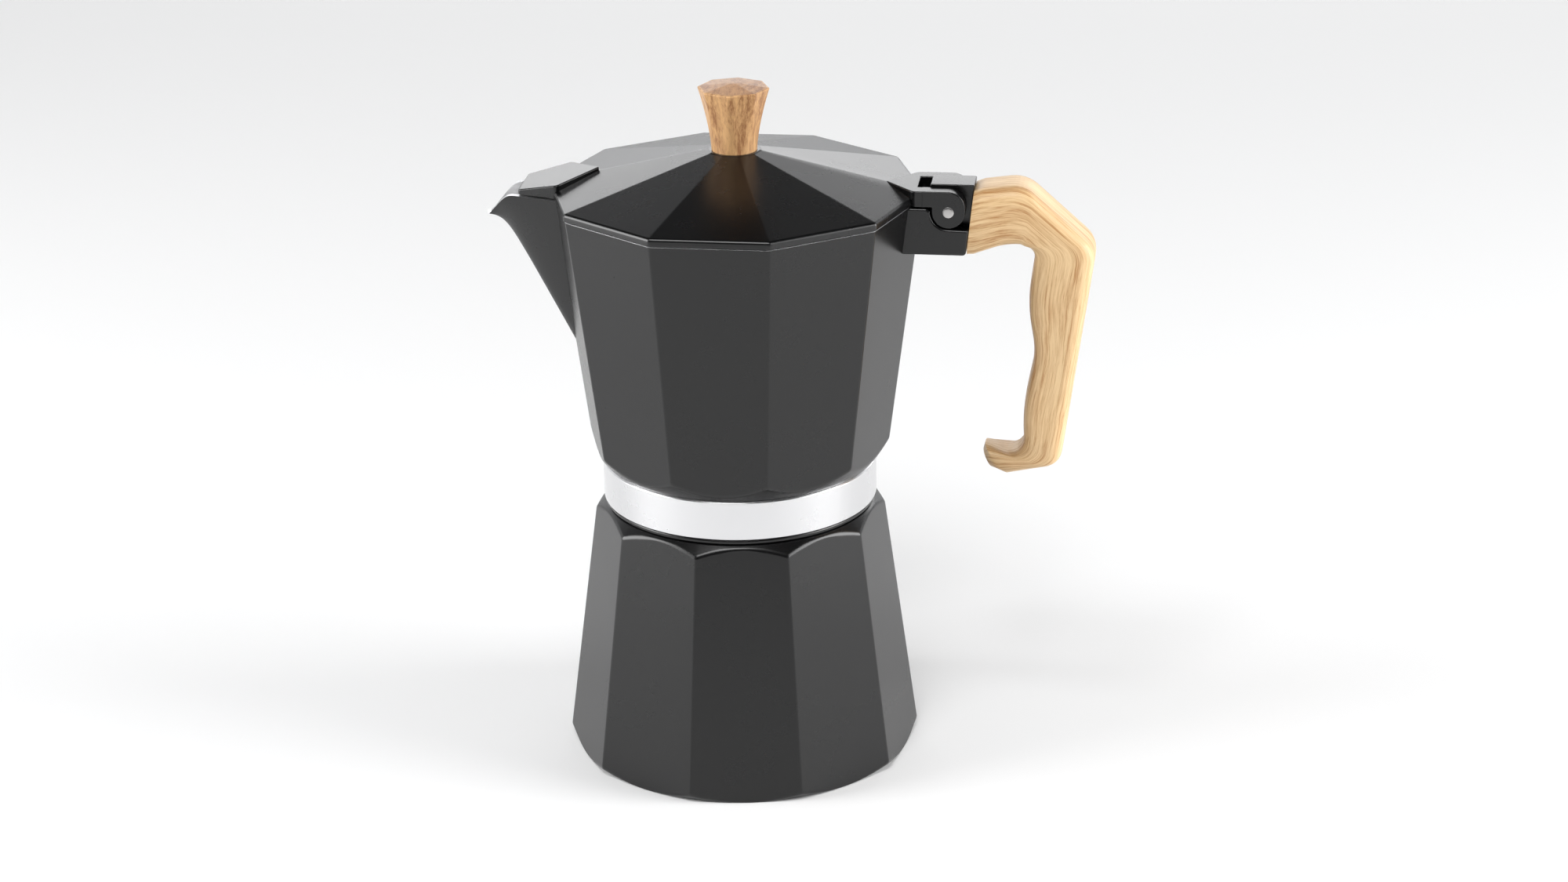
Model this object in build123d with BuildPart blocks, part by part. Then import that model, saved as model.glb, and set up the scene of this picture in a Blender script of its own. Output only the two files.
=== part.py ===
from build123d import *
from math import atan, cos, degrees, pi, radians, sin
import os

# Stovetop moka pot, six cups, millimetres. +Z up, origin on the pot's axis at the face that it
# stands on, handle towards +X, spout towards -X. A faceted boiler stands on the hob, a funnel
# basket drops into its neck, and a faceted pot with spout, hinged lid and side handle screws
# over the neck. Threads are plain cylinders with a clearance.

os.makedirs("parts", exist_ok=True)

# ---------------------------------------------------------------- driving dimensions
SIDES = 10                    # facets of the boiler, the pot and the lid
FACET_TURN = 360 / SIDES
FLAT = cos(pi / SIDES)        # across flats over across corners
PART_GAP = 0.3                # between pieces of different bodies that never rub
RUN_CLEARANCE = 0.05          # radial, pin in its bearing
OVERCUT = 1.0                 # a cut runs this far past the face that it opens

# boiler
BOILER_FOOT_R = 55.3          # corner radius at the base
BOILER_SHOULDER_OUT = 3.25    # corner radius where the shoulder cone starts, beyond the bead
BOILER_SHOULDER_Z = 77.4
BOILER_TURN = 8.35            # the boiler's corners lag the pot's by this angle when screwed tight
BOILER_WALL = 3.2
BOILER_FLOOR = 4.0
FOOT_CHAMFER = 2.8
SHOULDER_RISE = 3.1
BEAD_OUT = 5.6                # round bead under the bare band, beyond the neck
BEAD_HEIGHT = 1.8
NECK_R = 36.0                 # crest of the neck's thread
NECK_HEIGHT = 8.7
NECK_WALL = 4.5
CEILING_SLOPE = 0.75          # inside cone between wall and neck, rise over run

# funnel basket
BASKET_CLEARANCE = 0.5
BASKET_DEPTH = 21.0
SHEET = 0.9                   # spun aluminium sheet
FLANGE_LAP = 2.5              # the flange rests on this much of the neck
STEM_R = 5.6
STEM_FLOOR_GAP = 5.0
FUNNEL_CONE = 9.0             # height of the cone under the basket
STRAINER_T = 0.8
HOLE_R = 0.75
HOLE_EDGE = 5.0               # plain rim left outside a disc's holes, at least
HOLE_RING_PITCH = 4.6

# safety valve, in the back facet of the boiler
VALVE_Z = 46.0
VALVE_FACET = 98.35           # direction of the facet that it sits in
VALVE_THREAD_R = 5.0
VALVE_BOSS_R = 8.5
VALVE_BOSS_DEPTH = 4.0
VALVE_HEX_FLATS = 14.0
VALVE_HEX_HEIGHT = 5.0
VALVE_BORE_R = 3.6
VALVE_ORIFICE_R = 1.8
VALVE_SEAT_T = 1.5
VALVE_PLUG_R = 3.2
VALVE_PLUG_T = 2.0
VALVE_TAIL_R = 1.1
VALVE_TAIL_PROUD = 1.6
VALVE_CAP_T = 1.2
SEAL_T = 1.0
SPRING_WIRE = 0.5
SPRING_R = 2.3
SPRING_TURNS = 4

# bare band, gasket and filter plate
THREAD_CLEARANCE = 0.3
SKIRT_WALL = 2.7              # threaded skirt of the pot, inside the band
BAND_WALL = 3.15
BAND_BEVEL = 0.7
GASKET_IN = 3.1               # gasket's edge, in from the thread's crest
GASKET_WIDTH = 5.9
GASKET_T = 3.2
PLATE_LAP = 2.0               # the gasket holds this much of the plate's edge
PLATE_T = 0.9

# pot
POT_CHAMFER_OUT = 4.35        # corner radius at the top of the turned chamfer, beyond its foot
POT_CHAMFER_H = 5.6           # height of that chamfer above the band
BAND_PROUD = 0.05             # band beyond the chamfer that meets it
POT_RIM_R = 56.55
POT_RIM_Z = 178.0
POT_WALL = 2.5
POT_FLOOR = 5.2
POT_SEAT_RISE = 2.4           # dished ceiling over the filter plate

# riser column and its cap
RISER_FOOT_R = 9.5
RISER_R = 6.6
RISER_BORE_R = 3.5
RISER_HEIGHT = 50.0
RISER_SPIGOT_R = 7.0
RISER_STEP = 1.0              # shoulder that the cap's sleeve stops on
RISER_MOUTH = 1.0             # the bore flares by this at its foot
CAP_WALL = 1.5
CAP_SLEEVE = 6.0
CAP_HEAD = 8.0
CAP_SLOT = (6.0, 4.0)

# spout: station distance out from the rim corner, keel depth under the rim, half width
# at rim height and wall, from the root inside the pot to the tip
SPOUT_STATIONS = ((-9.0, 54.0, 14.8, 2.1), (-3.5, 44.0, 13.0, 2.1), (9.05, 18.6, 8.5, 2.0),
                  (13.0, 11.8, 7.2, 1.7), (16.2, 9.8, 7.3, 1.2), (20.6, 8.6, 7.0, 0.6))
SPOUT_REACH = 19.45           # tip beyond the rim corner
SPOUT_TIP_DROP = 8.9
LIP_START = 12.4              # where the rim begins to fall towards the tip
LIP_ROUND = 3.0

# hinge lug, cast on the pot
PIVOT_OUT = 8.45              # pin axis beyond the rim corner
PIVOT_DROP = 1.1              # pin axis under the rim
PIN_R = 1.85
HINGE_HALF = 10.2             # half width over the ears
TONGUE_HALF = 4.95
TONGUE_RISE = 6.0             # tongue top above the rim
TONGUE_BACK = 5.8             # tongue end behind the pin axis
EAR_R = 5.0
EAR_TOP = 6.3                 # ear top above the pin axis
LUG_DROP = 14.5               # lug bottom under the rim
LEDGE_GAP = 0.5               # ledge under the ears, clear of their round when they turn
LUG_END_OUT = 13.65           # lug's end beyond the rim corner, at its bottom
LUG_END_LEAN = 0.108          # the end face leans outwards, run over rise
CROTCH_BACK = 9.5             # root of the slot between the ears, behind the pin axis
TENON_LENGTH = 12.0
TENON_HALF = 4.5
TENON_DROP = (7.5, -1.0)      # bottom and top of the tenon, under the rim
TENON_CLEARANCE = 0.15

# handle, side view measured from the foot of the lug's end face: across, up
HANDLE_HALF = 9.5
HANDLE_JOINT = ((0.0, -1.5), (2.2, 19.4))
HANDLE_CROWN = (16.9, 21.4)
HANDLE_BACK = (38.65, 1.9)
HANDLE_HEEL = (28.8, -67.5)
HANDLE_TOE = (9.1, -72.9)
HANDLE_TIP = (3.8, -63.2)
HANDLE_CRUTCH = (17.8, -65.3)
HANDLE_PALM = (17.9, -59.5)
HANDLE_FINGER_LOW = (17.5, -47.5)
HANDLE_NOTCH = (20.45, -30.8)
HANDLE_FINGER_TOP = (18.55, -17.0)
HANDLE_BEND_LOW = (20.7, -3.2)
HANDLE_BEND_MID = (19.2, 0.7)
HANDLE_BEND_TOP = (14.4, 2.3)
HANDLE_ROUNDS = (7.0, 6.5, 3.5, 2.8, 2.2, 4.0)    # crown, back, heel, toe, tip, crutch
HANDLE_SCREW_IN = 7.8
HANDLE_SCREW_WALL = 1.8       # plastic between the screw's head and the tenon
SCREW_R = 2.0
SCREW_HEAD_R = 3.6
SCREW_HEAD_T = 2.2
SCREW_BITE = 7.0
SCREW_END_GAP = 1.0           # left free past a screw's end

# lid
LID_LAP = 0.45                # lid's corners beyond the rim's
LID_EDGE = 2.3
LID_SLOPE = 0.228             # rise over run along the corners
LID_SHEET = 2.1
LID_WALL = 3.6
KNOB_SEAT_R = 8.3
KNOB_SEAT_RISE = 0.2
KNOB_BOSS_T = 3.3             # lid's thickness under the knob
BEAK_TIP_IN = 16.0            # point of the spout cover, in from the lid's corner
BEAK_SHOULDER = (5.0, 12.6)   # widest place: in from the corner, half width
BEAK_END = (7.8, 8.2)         # front end: out from the corner, half width
BEAK_PROUD = 1.0              # top of the cover above the lid's ridge
BRACKET_TIP_IN = 11.7
BRACKET_SHOULDER_IN = 2.7

# knob
KNOB_BASE_R = 7.5
KNOB_WAIST_R = 8.5
KNOB_RIM_R = 10.95
KNOB_HEIGHT = 19.0
KNOB_WAIST_H = 10.0
KNOB_CROWN = 1.3
KNOB_FLAT_R = 2.7             # flat in the middle of the crown
KNOB_SIDES = 8
INSERT_R = 3.2
INSERT_LENGTH = 9.0
WASHER_R = 5.5
WASHER_T = 0.8

# ---------------------------------------------------------------- derived places
mouth_r = NECK_R - NECK_WALL
flange_r = mouth_r + FLANGE_LAP
bead_r = NECK_R + BEAD_OUT
boiler_shoulder_r = bead_r + BOILER_SHOULDER_OUT
skirt_r = NECK_R + THREAD_CLEARANCE + SKIRT_WALL
band_r = skirt_r + BAND_WALL
pot_neck_r = band_r - BAND_PROUD
pot_foot_r = pot_neck_r + POT_CHAMFER_OUT
gasket_r = NECK_R - GASKET_IN
gasket_bore_r = gasket_r - GASKET_WIDTH
plate_r = gasket_bore_r + PLATE_LAP
lid_r = POT_RIM_R + LID_LAP
boiler_taper = (BOILER_FOOT_R - boiler_shoulder_r) / BOILER_SHOULDER_Z
bead_z = BOILER_SHOULDER_Z + SHOULDER_RISE
neck_z = bead_z + BEAD_HEIGHT
neck_top = neck_z + NECK_HEIGHT
flange_top = neck_top + SHEET
band_z = neck_z + PART_GAP
seat_z = flange_top + GASKET_T
band_top = seat_z
pot_chamfer_z = band_top + POT_CHAMFER_H
pot_taper = (POT_RIM_R - pot_foot_r) / (POT_RIM_Z - pot_chamfer_z)
pot_floor_z = seat_z + POT_FLOOR
gasket_room_r = gasket_r + PART_GAP
plate_room_r = plate_r + PART_GAP
thread_room_r = NECK_R + THREAD_CLEARANCE
basket_r = mouth_r - BASKET_CLEARANCE
basket_floor = flange_top - BASKET_DEPTH
cone_foot = basket_floor - FUNNEL_CONE
stem_foot = BOILER_FLOOR + STEM_FLOOR_GAP
pivot_x = POT_RIM_R + PIVOT_OUT
pivot_z = POT_RIM_Z - PIVOT_DROP
lug_foot = (POT_RIM_R + LUG_END_OUT, POT_RIM_Z - LUG_DROP)
lid_z = POT_RIM_Z + PART_GAP
lid_edge_z = lid_z + LID_EDGE
ear_top_z = pivot_z + EAR_TOP
knob_seat_z = lid_edge_z + (lid_r - KNOB_SEAT_R) * LID_SLOPE + KNOB_SEAT_RISE
FAR = 200.0                   # reaches past everything


def lug_end_x(z):
    """Place of the lug's leaning end face at a height."""
    return lug_foot[0] + LUG_END_LEAN * (z - lug_foot[1])


def handle_point(offset):
    """Place of a handle point given from the foot of the lug's end face."""
    return (lug_foot[0] + offset[0], lug_foot[1] + offset[1])


def lid_ridge_z(r):
    """Height of the lid's ridge at a distance from the axis."""
    return lid_edge_z + (lid_r - r) * LID_SLOPE


def polygon_loft(z_low, r_low, z_high, r_high, turn=0.0, sides=SIDES):
    """Straight-sided loft between two regular polygons, in the open part."""
    with BuildSketch(Plane.XY.offset(z_low)) as low:
        RegularPolygon(radius=r_low, side_count=sides, rotation=turn)
    with BuildSketch(Plane.XY.offset(z_high)) as high:
        RegularPolygon(radius=r_high, side_count=sides, rotation=turn)
    loft(sections=[low.sketch, high.sketch], ruled=True)


def turned(points, mode=Mode.ADD):
    """Revolve a closed (r, z) outline about the pot's axis, in the open part."""
    with BuildSketch(Plane.XZ) as outline:
        with BuildLine():
            Polyline(*points, close=True)
        make_face()
    revolve(outline.sketch, axis=Axis.Z, mode=mode)


# ---------------------------------------------------------------- boiler
def boiler_r(z, inset=0.0):
    """Corner radius of the boiler's outside at a height, less a wall."""
    return BOILER_FOOT_R - boiler_taper * z - inset / FLAT


cavity_shoulder_z = bead_z - BOILER_WALL - (boiler_r(bead_z, BOILER_WALL) - mouth_r) * CEILING_SLOPE
with BuildPart() as boiler_cavity:
    polygon_loft(BOILER_FLOOR, boiler_r(BOILER_FLOOR, BOILER_WALL),
                 bead_z, boiler_r(bead_z, BOILER_WALL), turn=BOILER_TURN)
    turned([(0, BOILER_FLOOR), (FAR, BOILER_FLOOR), (FAR, cavity_shoulder_z),
            (boiler_r(bead_z, BOILER_WALL), cavity_shoulder_z),
            (mouth_r, bead_z - BOILER_WALL), (0, bead_z - BOILER_WALL)], mode=Mode.INTERSECT)
    with BuildSketch(Plane.XY.offset(cavity_shoulder_z)):
        Circle(mouth_r)
    extrude(amount=neck_top - cavity_shoulder_z)

valve_lean = degrees(atan(boiler_taper * FLAT))
valve_flat_r = boiler_r(VALVE_Z) * FLAT
valve_plane = Plane(
    origin=(valve_flat_r * cos(radians(VALVE_FACET)), valve_flat_r * sin(radians(VALVE_FACET)), VALVE_Z),
    x_dir=(-sin(radians(VALVE_FACET)), cos(radians(VALVE_FACET)), 0),
    z_dir=(cos(radians(valve_lean)) * cos(radians(VALVE_FACET)),
           cos(radians(valve_lean)) * sin(radians(VALVE_FACET)), sin(radians(valve_lean))))
valve_inner = -(BOILER_WALL + VALVE_BOSS_DEPTH)

with BuildPart() as boiler:
    polygon_loft(0, boiler_r(0), bead_z, boiler_r(bead_z), turn=BOILER_TURN)
    turned([(0, 0), (BOILER_FOOT_R - FOOT_CHAMFER, 0), (BOILER_FOOT_R, FOOT_CHAMFER),
            (BOILER_FOOT_R, BOILER_FOOT_R - boiler_shoulder_r),
            (boiler_shoulder_r, BOILER_SHOULDER_Z), (bead_r, bead_z), (0, bead_z)],
           mode=Mode.INTERSECT)
    turned([(0, bead_z), (bead_r, bead_z), (bead_r, neck_z), (NECK_R, neck_z),
            (NECK_R, neck_top), (0, neck_top)])
    add(boiler_cavity.part, mode=Mode.SUBTRACT)
    with BuildSketch(valve_plane.offset(valve_inner)):
        Circle(VALVE_BOSS_R)
    extrude(amount=-valve_inner - BOILER_WALL / 2)
    with BuildSketch(valve_plane.offset(valve_inner)):
        Circle(VALVE_THREAD_R)
    extrude(amount=-valve_inner + SHEET, mode=Mode.SUBTRACT)
boiler.part.label = "boiler"
export_step(boiler.part, "parts/boiler.step")

# ---------------------------------------------------------------- safety valve
with BuildPart() as valve_seal:
    with BuildSketch(valve_plane):
        Circle(VALVE_HEX_FLATS / 2)
        Circle(VALVE_THREAD_R, mode=Mode.SUBTRACT)
    extrude(amount=SEAL_T)
valve_seal.part.label = "valve_seal"
export_step(valve_seal.part, "parts/valve_seal.step")

valve_mouth = SEAL_T + VALVE_HEX_HEIGHT
valve_seat = valve_inner + VALVE_SEAT_T
with BuildPart() as valve_body:
    with BuildSketch(valve_plane.offset(SEAL_T)):
        RegularPolygon(radius=VALVE_HEX_FLATS / 2, side_count=6, major_radius=False)
    extrude(amount=VALVE_HEX_HEIGHT)
    with BuildSketch(valve_plane.offset(valve_inner)):
        Circle(VALVE_THREAD_R)
    extrude(amount=SEAL_T - valve_inner)
    with BuildSketch(valve_plane.offset(valve_seat)):
        Circle(VALVE_BORE_R)
    extrude(amount=valve_mouth - valve_seat, mode=Mode.SUBTRACT)
    with BuildSketch(valve_plane.offset(valve_inner)):
        Circle(VALVE_ORIFICE_R)
    extrude(amount=VALVE_SEAT_T, mode=Mode.SUBTRACT)
valve_body.part.label = "valve_body"
export_step(valve_body.part, "parts/valve_body.step")

cap_inner = valve_mouth - VALVE_CAP_T
with BuildPart() as valve_cap:
    with BuildSketch(valve_plane.offset(cap_inner)):
        Circle(VALVE_BORE_R)
        Circle(VALVE_TAIL_R + PART_GAP, mode=Mode.SUBTRACT)
    extrude(amount=VALVE_CAP_T)
valve_cap.part.label = "valve_cap"
export_step(valve_cap.part, "parts/valve_cap.step")

plug_top = valve_seat + VALVE_PLUG_T
with BuildPart() as valve_stem:
    with BuildSketch(valve_plane.offset(valve_seat)):
        Circle(VALVE_PLUG_R)
    extrude(amount=VALVE_PLUG_T)
    with BuildSketch(valve_plane.offset(plug_top)):
        Circle(VALVE_TAIL_R)
    extrude(amount=valve_mouth + VALVE_TAIL_PROUD - plug_top)
valve_stem.part.label = "valve_stem"
export_step(valve_stem.part, "parts/valve_stem.step")

spring_start = plug_top + SPRING_WIRE
spring_height = cap_inner - plug_top - 2 * SPRING_WIRE
with BuildPart() as valve_spring:
    with BuildLine() as coil:
        Helix(pitch=spring_height / SPRING_TURNS, height=spring_height, radius=SPRING_R,
              center=valve_plane.offset(spring_start).origin, direction=valve_plane.z_dir)
    with BuildSketch(Plane(origin=coil.line @ 0, x_dir=valve_plane.z_dir.cross(coil.line % 0),
                           z_dir=coil.line % 0)):
        Circle(SPRING_WIRE / 2)
    sweep(path=coil.line, is_frenet=True)
valve_spring.part.label = "valve_spring"
export_step(valve_spring.part, "parts/valve_spring.step")

# ---------------------------------------------------------------- funnel basket
stem_bore_r = STEM_R - SHEET
ledge_r = basket_r - 2 * SHEET
with BuildPart() as funnel:
    turned([(flange_r, flange_top), (flange_r, neck_top), (basket_r, neck_top),
            (basket_r, basket_floor), (STEM_R, cone_foot), (STEM_R, stem_foot),
            (stem_bore_r, stem_foot), (stem_bore_r, cone_foot + SHEET),
            (ledge_r, basket_floor + SHEET), (basket_r - SHEET, basket_floor + SHEET),
            (basket_r - SHEET, flange_top)])
funnel.part.label = "funnel"
export_step(funnel.part, "parts/funnel.step")


def perforated_disc(z, radius, thickness):
    """Flat disc with rings of round holes, in the open part."""
    with BuildSketch(Plane.XY.offset(z)) as disc:
        Circle(radius)
        Circle(HOLE_R, mode=Mode.SUBTRACT)
        for ring in range(1, int((radius - HOLE_EDGE) / HOLE_RING_PITCH) + 1):
            with PolarLocations(ring * HOLE_RING_PITCH, 6 * ring):
                Circle(HOLE_R, mode=Mode.SUBTRACT)
    extrude(disc.sketch, amount=thickness)


with BuildPart() as funnel_strainer:
    perforated_disc(basket_floor + SHEET, basket_r - SHEET, STRAINER_T)
funnel_strainer.part.label = "funnel_strainer"
export_step(funnel_strainer.part, "parts/funnel_strainer.step")

# ---------------------------------------------------------------- gasket and filter plate
with BuildPart() as gasket:
    with BuildSketch(Plane.XY.offset(flange_top)):
        Circle(gasket_r)
        Circle(gasket_bore_r, mode=Mode.SUBTRACT)
    extrude(amount=GASKET_T)
gasket.part.label = "gasket"
export_step(gasket.part, "parts/gasket.step")

with BuildPart() as filter_plate:
    perforated_disc(seat_z, plate_r, PLATE_T)
filter_plate.part.label = "filter_plate"
export_step(filter_plate.part, "parts/filter_plate.step")

# ---------------------------------------------------------------- bare band
with BuildPart() as skirt_band:
    turned([(skirt_r, band_z), (band_r, band_z), (band_r, band_top - BAND_BEVEL),
            (band_r - BAND_BEVEL, band_top), (skirt_r, band_top)])
skirt_band.part.label = "skirt_band"
export_step(skirt_band.part, "parts/skirt_band.step")


# ---------------------------------------------------------------- spout
def spout_loft(inside):
    """V-shaped trough through the stations; inside takes the wall off both faces."""
    faces = []
    for out, depth, half, wall in SPOUT_STATIONS:
        lean = atan(half / depth)
        keel = POT_RIM_Z - depth
        if inside:
            keel += wall / sin(lean)
            half -= wall / cos(lean)
            half *= (POT_RIM_Z + OVERCUT - keel) / (POT_RIM_Z - keel)
        top = POT_RIM_Z + (OVERCUT if inside else 0)
        with BuildSketch(Plane.YZ.offset(-POT_RIM_R - out)) as station:
            with BuildLine():
                Polyline((0, keel), (half, top), (-half, top), close=True)
            make_face()
        faces.append(station.sketch)
    loft(sections=faces, ruled=True)


with BuildPart() as spout_shell:
    spout_loft(inside=False)
    with BuildSketch(Plane.XZ):
        with BuildLine():
            FilletPolyline((0, POT_RIM_Z), (-POT_RIM_R - LIP_START, POT_RIM_Z),
                           (-POT_RIM_R - SPOUT_REACH, POT_RIM_Z - SPOUT_TIP_DROP), radius=LIP_ROUND)
            Polyline((-POT_RIM_R - SPOUT_REACH, POT_RIM_Z - SPOUT_TIP_DROP),
                     (-POT_RIM_R - SPOUT_REACH, 0), (0, 0), (0, POT_RIM_Z))
        make_face()
    extrude(amount=FAR, both=True, mode=Mode.INTERSECT)

with BuildPart() as spout_trough:
    spout_loft(inside=True)


# ---------------------------------------------------------------- pot
def pot_r(z, inset=0.0):
    """Corner radius of the pot's outside at a height, less a wall."""
    return POT_RIM_R - pot_taper * (POT_RIM_Z - z) - inset / FLAT


riser_foot_z = seat_z + POT_SEAT_RISE
chamfer_slope = (pot_foot_r - pot_neck_r) / POT_CHAMFER_H
with BuildPart() as pot:
    polygon_loft(seat_z, pot_r(seat_z), POT_RIM_Z, POT_RIM_R)
    turned([(0, seat_z), (pot_neck_r, seat_z), (pot_foot_r, pot_chamfer_z),
            (POT_RIM_R, pot_chamfer_z + (POT_RIM_R - pot_foot_r) / chamfer_slope),
            (POT_RIM_R, POT_RIM_Z), (0, POT_RIM_Z)], mode=Mode.INTERSECT)
    add(spout_shell.part)
    # hinge lug: full width block, and a tongue between the lid's ears
    with BuildSketch(Plane.XZ):
        with BuildLine():
            Polyline((pot_foot_r, lug_foot[1]), lug_foot,
                     (lug_end_x(POT_RIM_Z + TONGUE_RISE), POT_RIM_Z + TONGUE_RISE),
                     (pivot_x - TONGUE_BACK, POT_RIM_Z + TONGUE_RISE),
                     (pivot_x - TONGUE_BACK, POT_RIM_Z), (pot_foot_r, POT_RIM_Z), close=True)
        make_face()
    extrude(amount=HINGE_HALF, both=True)
    with BuildSketch(Plane.XZ, mode=Mode.PRIVATE) as ear_room:
        with Locations((pivot_x, pivot_z)):
            Circle(EAR_R + PART_GAP + RUN_CLEARANCE)
        with Locations((POT_RIM_R, POT_RIM_Z)):
            Rectangle(FAR, FAR, align=(Align.MIN, Align.MIN))
        with Locations((pivot_x, pivot_z - EAR_R - LEDGE_GAP)):
            Rectangle(FAR, FAR, align=(Align.MIN, Align.MIN))
    for side in (-1, 1):
        extrude(ear_room.sketch.moved(Location((0, side * TONGUE_HALF, 0))),
                amount=-side * FAR, mode=Mode.SUBTRACT)
    # tenon that carries the handle
    with BuildSketch(Plane.XZ):
        with BuildLine():
            tenon_low = POT_RIM_Z - TENON_DROP[0]
            tenon_high = POT_RIM_Z - TENON_DROP[1]
            tenon_end = lug_end_x(tenon_low) + TENON_LENGTH
            Polyline((pivot_x + PIN_R, tenon_low), (tenon_end, tenon_low),
                     (tenon_end, tenon_high), (pivot_x + PIN_R, tenon_high), close=True)
        make_face()
    extrude(amount=TENON_HALF, both=True)
    # inside of the pot and of the spout
    inner_low = pot_r(pot_floor_z, POT_WALL)
    inner_high = pot_r(POT_RIM_Z + OVERCUT, POT_WALL)
    with BuildSketch(Plane.XY.offset(pot_floor_z)):
        RegularPolygon(radius=inner_low, side_count=SIDES)
    with BuildSketch(Plane.XY.offset(POT_RIM_Z + OVERCUT)):
        RegularPolygon(radius=inner_high, side_count=SIDES)
    loft(ruled=True, mode=Mode.SUBTRACT)
    add(spout_trough.part, mode=Mode.SUBTRACT)
    # threaded skirt under the floor, with the gasket's room
    turned([(gasket_room_r, seat_z), (gasket_room_r, flange_top + PART_GAP),
            (thread_room_r, flange_top + PART_GAP), (thread_room_r, band_z),
            (skirt_r, band_z), (skirt_r, seat_z)])
    # dished ceiling over the filter plate and the hole for the riser
    turned([(0, seat_z - OVERCUT), (plate_room_r, seat_z - OVERCUT), (plate_room_r, seat_z + PLATE_T),
            (RISER_SPIGOT_R, riser_foot_z), (RISER_SPIGOT_R, pot_floor_z + OVERCUT),
            (0, pot_floor_z + OVERCUT)], mode=Mode.SUBTRACT)
    # bore for the hinge pin, hole for the handle screw
    with BuildSketch(Plane.XZ):
        with Locations((pivot_x, pivot_z)):
            Circle(PIN_R + RUN_CLEARANCE)
    extrude(amount=FAR, both=True, mode=Mode.SUBTRACT)
    screw_x = lug_foot[0] + HANDLE_SCREW_IN
    with BuildSketch(Plane.XY.offset(tenon_low)):
        with Locations((screw_x, 0)):
            Circle(SCREW_R)
    extrude(amount=SCREW_BITE, mode=Mode.SUBTRACT)
pot.part.label = "pot"
export_step(pot.part, "parts/pot.step")

# ---------------------------------------------------------------- riser column and cap
riser_top = pot_floor_z + RISER_HEIGHT
sleeve_z = riser_top - CAP_SLEEVE
with BuildPart() as riser:
    turned([(RISER_BORE_R + RISER_MOUTH, riser_foot_z), (RISER_SPIGOT_R, riser_foot_z),
            (RISER_SPIGOT_R, pot_floor_z), (RISER_FOOT_R, pot_floor_z),
            (RISER_R + RISER_STEP, sleeve_z), (RISER_R, sleeve_z), (RISER_R, riser_top),
            (RISER_BORE_R, riser_top)])
riser.part.label = "riser"
export_step(riser.part, "parts/riser.step")

cap_top = riser_top + CAP_HEAD
with BuildPart() as riser_cap:
    turned([(RISER_R, sleeve_z), (RISER_R + CAP_WALL, sleeve_z),
            (RISER_R + CAP_WALL, cap_top - 2 * CAP_WALL), (RISER_R, cap_top), (0, cap_top),
            (0, cap_top - CAP_WALL),
            (RISER_R - CAP_WALL, cap_top - CAP_WALL), (RISER_R - CAP_WALL, riser_top),
            (RISER_R, riser_top)])
    with BuildSketch(Plane.YZ):
        with Locations((0, riser_top + CAP_SLOT[1] / 2 + SHEET)):
            SlotOverall(CAP_SLOT[0], CAP_SLOT[1])
    extrude(amount=FAR, both=True, mode=Mode.SUBTRACT)
riser_cap.part.label = "riser_cap"
export_step(riser_cap.part, "parts/riser_cap.step")

# ---------------------------------------------------------------- lid
with BuildPart() as beak:
    with BuildSketch(Plane.XY.offset(lid_z)):
        with BuildLine():
            Polyline((-lid_r + BEAK_TIP_IN, 0), (-lid_r + BEAK_SHOULDER[0], BEAK_SHOULDER[1]),
                     (-lid_r - BEAK_END[0], BEAK_END[1]), (-lid_r - BEAK_END[0], -BEAK_END[1]),
                     (-lid_r + BEAK_SHOULDER[0], -BEAK_SHOULDER[1]), close=True)
        make_face()
    extrude(amount=lid_r * LID_SLOPE)
    with BuildSketch(Plane.XZ):
        with BuildLine():
            beak_end_r = lid_r + BEAK_END[0]
            Polyline((0, lid_z), (-beak_end_r, lid_z), (-beak_end_r, lid_ridge_z(beak_end_r) + BEAK_PROUD),
                     (0, lid_ridge_z(0) + BEAK_PROUD), close=True)
        make_face()
    extrude(amount=FAR, both=True, mode=Mode.INTERSECT)

with BuildPart() as bracket:
    with BuildSketch(Plane.XY.offset(lid_z)):
        with BuildLine():
            Polyline((lid_r - BRACKET_TIP_IN, 0), (lid_r - BRACKET_SHOULDER_IN, HINGE_HALF),
                     (pivot_x, HINGE_HALF), (pivot_x, -HINGE_HALF),
                     (lid_r - BRACKET_SHOULDER_IN, -HINGE_HALF), close=True)
        make_face()
    extrude(amount=ear_top_z - lid_z)
    with BuildSketch(Plane.XZ):
        with Locations((pivot_x, pivot_z), (pivot_x, ear_top_z - EAR_R)):
            Circle(EAR_R)
        with Locations((pivot_x, pivot_z)):
            Rectangle(EAR_R, ear_top_z - EAR_R - pivot_z, align=(Align.MIN, Align.MIN))
    extrude(amount=HINGE_HALF, both=True)
    with BuildSketch(Plane.XZ):
        with Locations((pivot_x - CROTCH_BACK, 0)):
            Rectangle(FAR, 2 * FAR, align=(Align.MIN, Align.MIN))
    extrude(amount=TONGUE_HALF + PART_GAP, both=True, mode=Mode.SUBTRACT)

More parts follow.
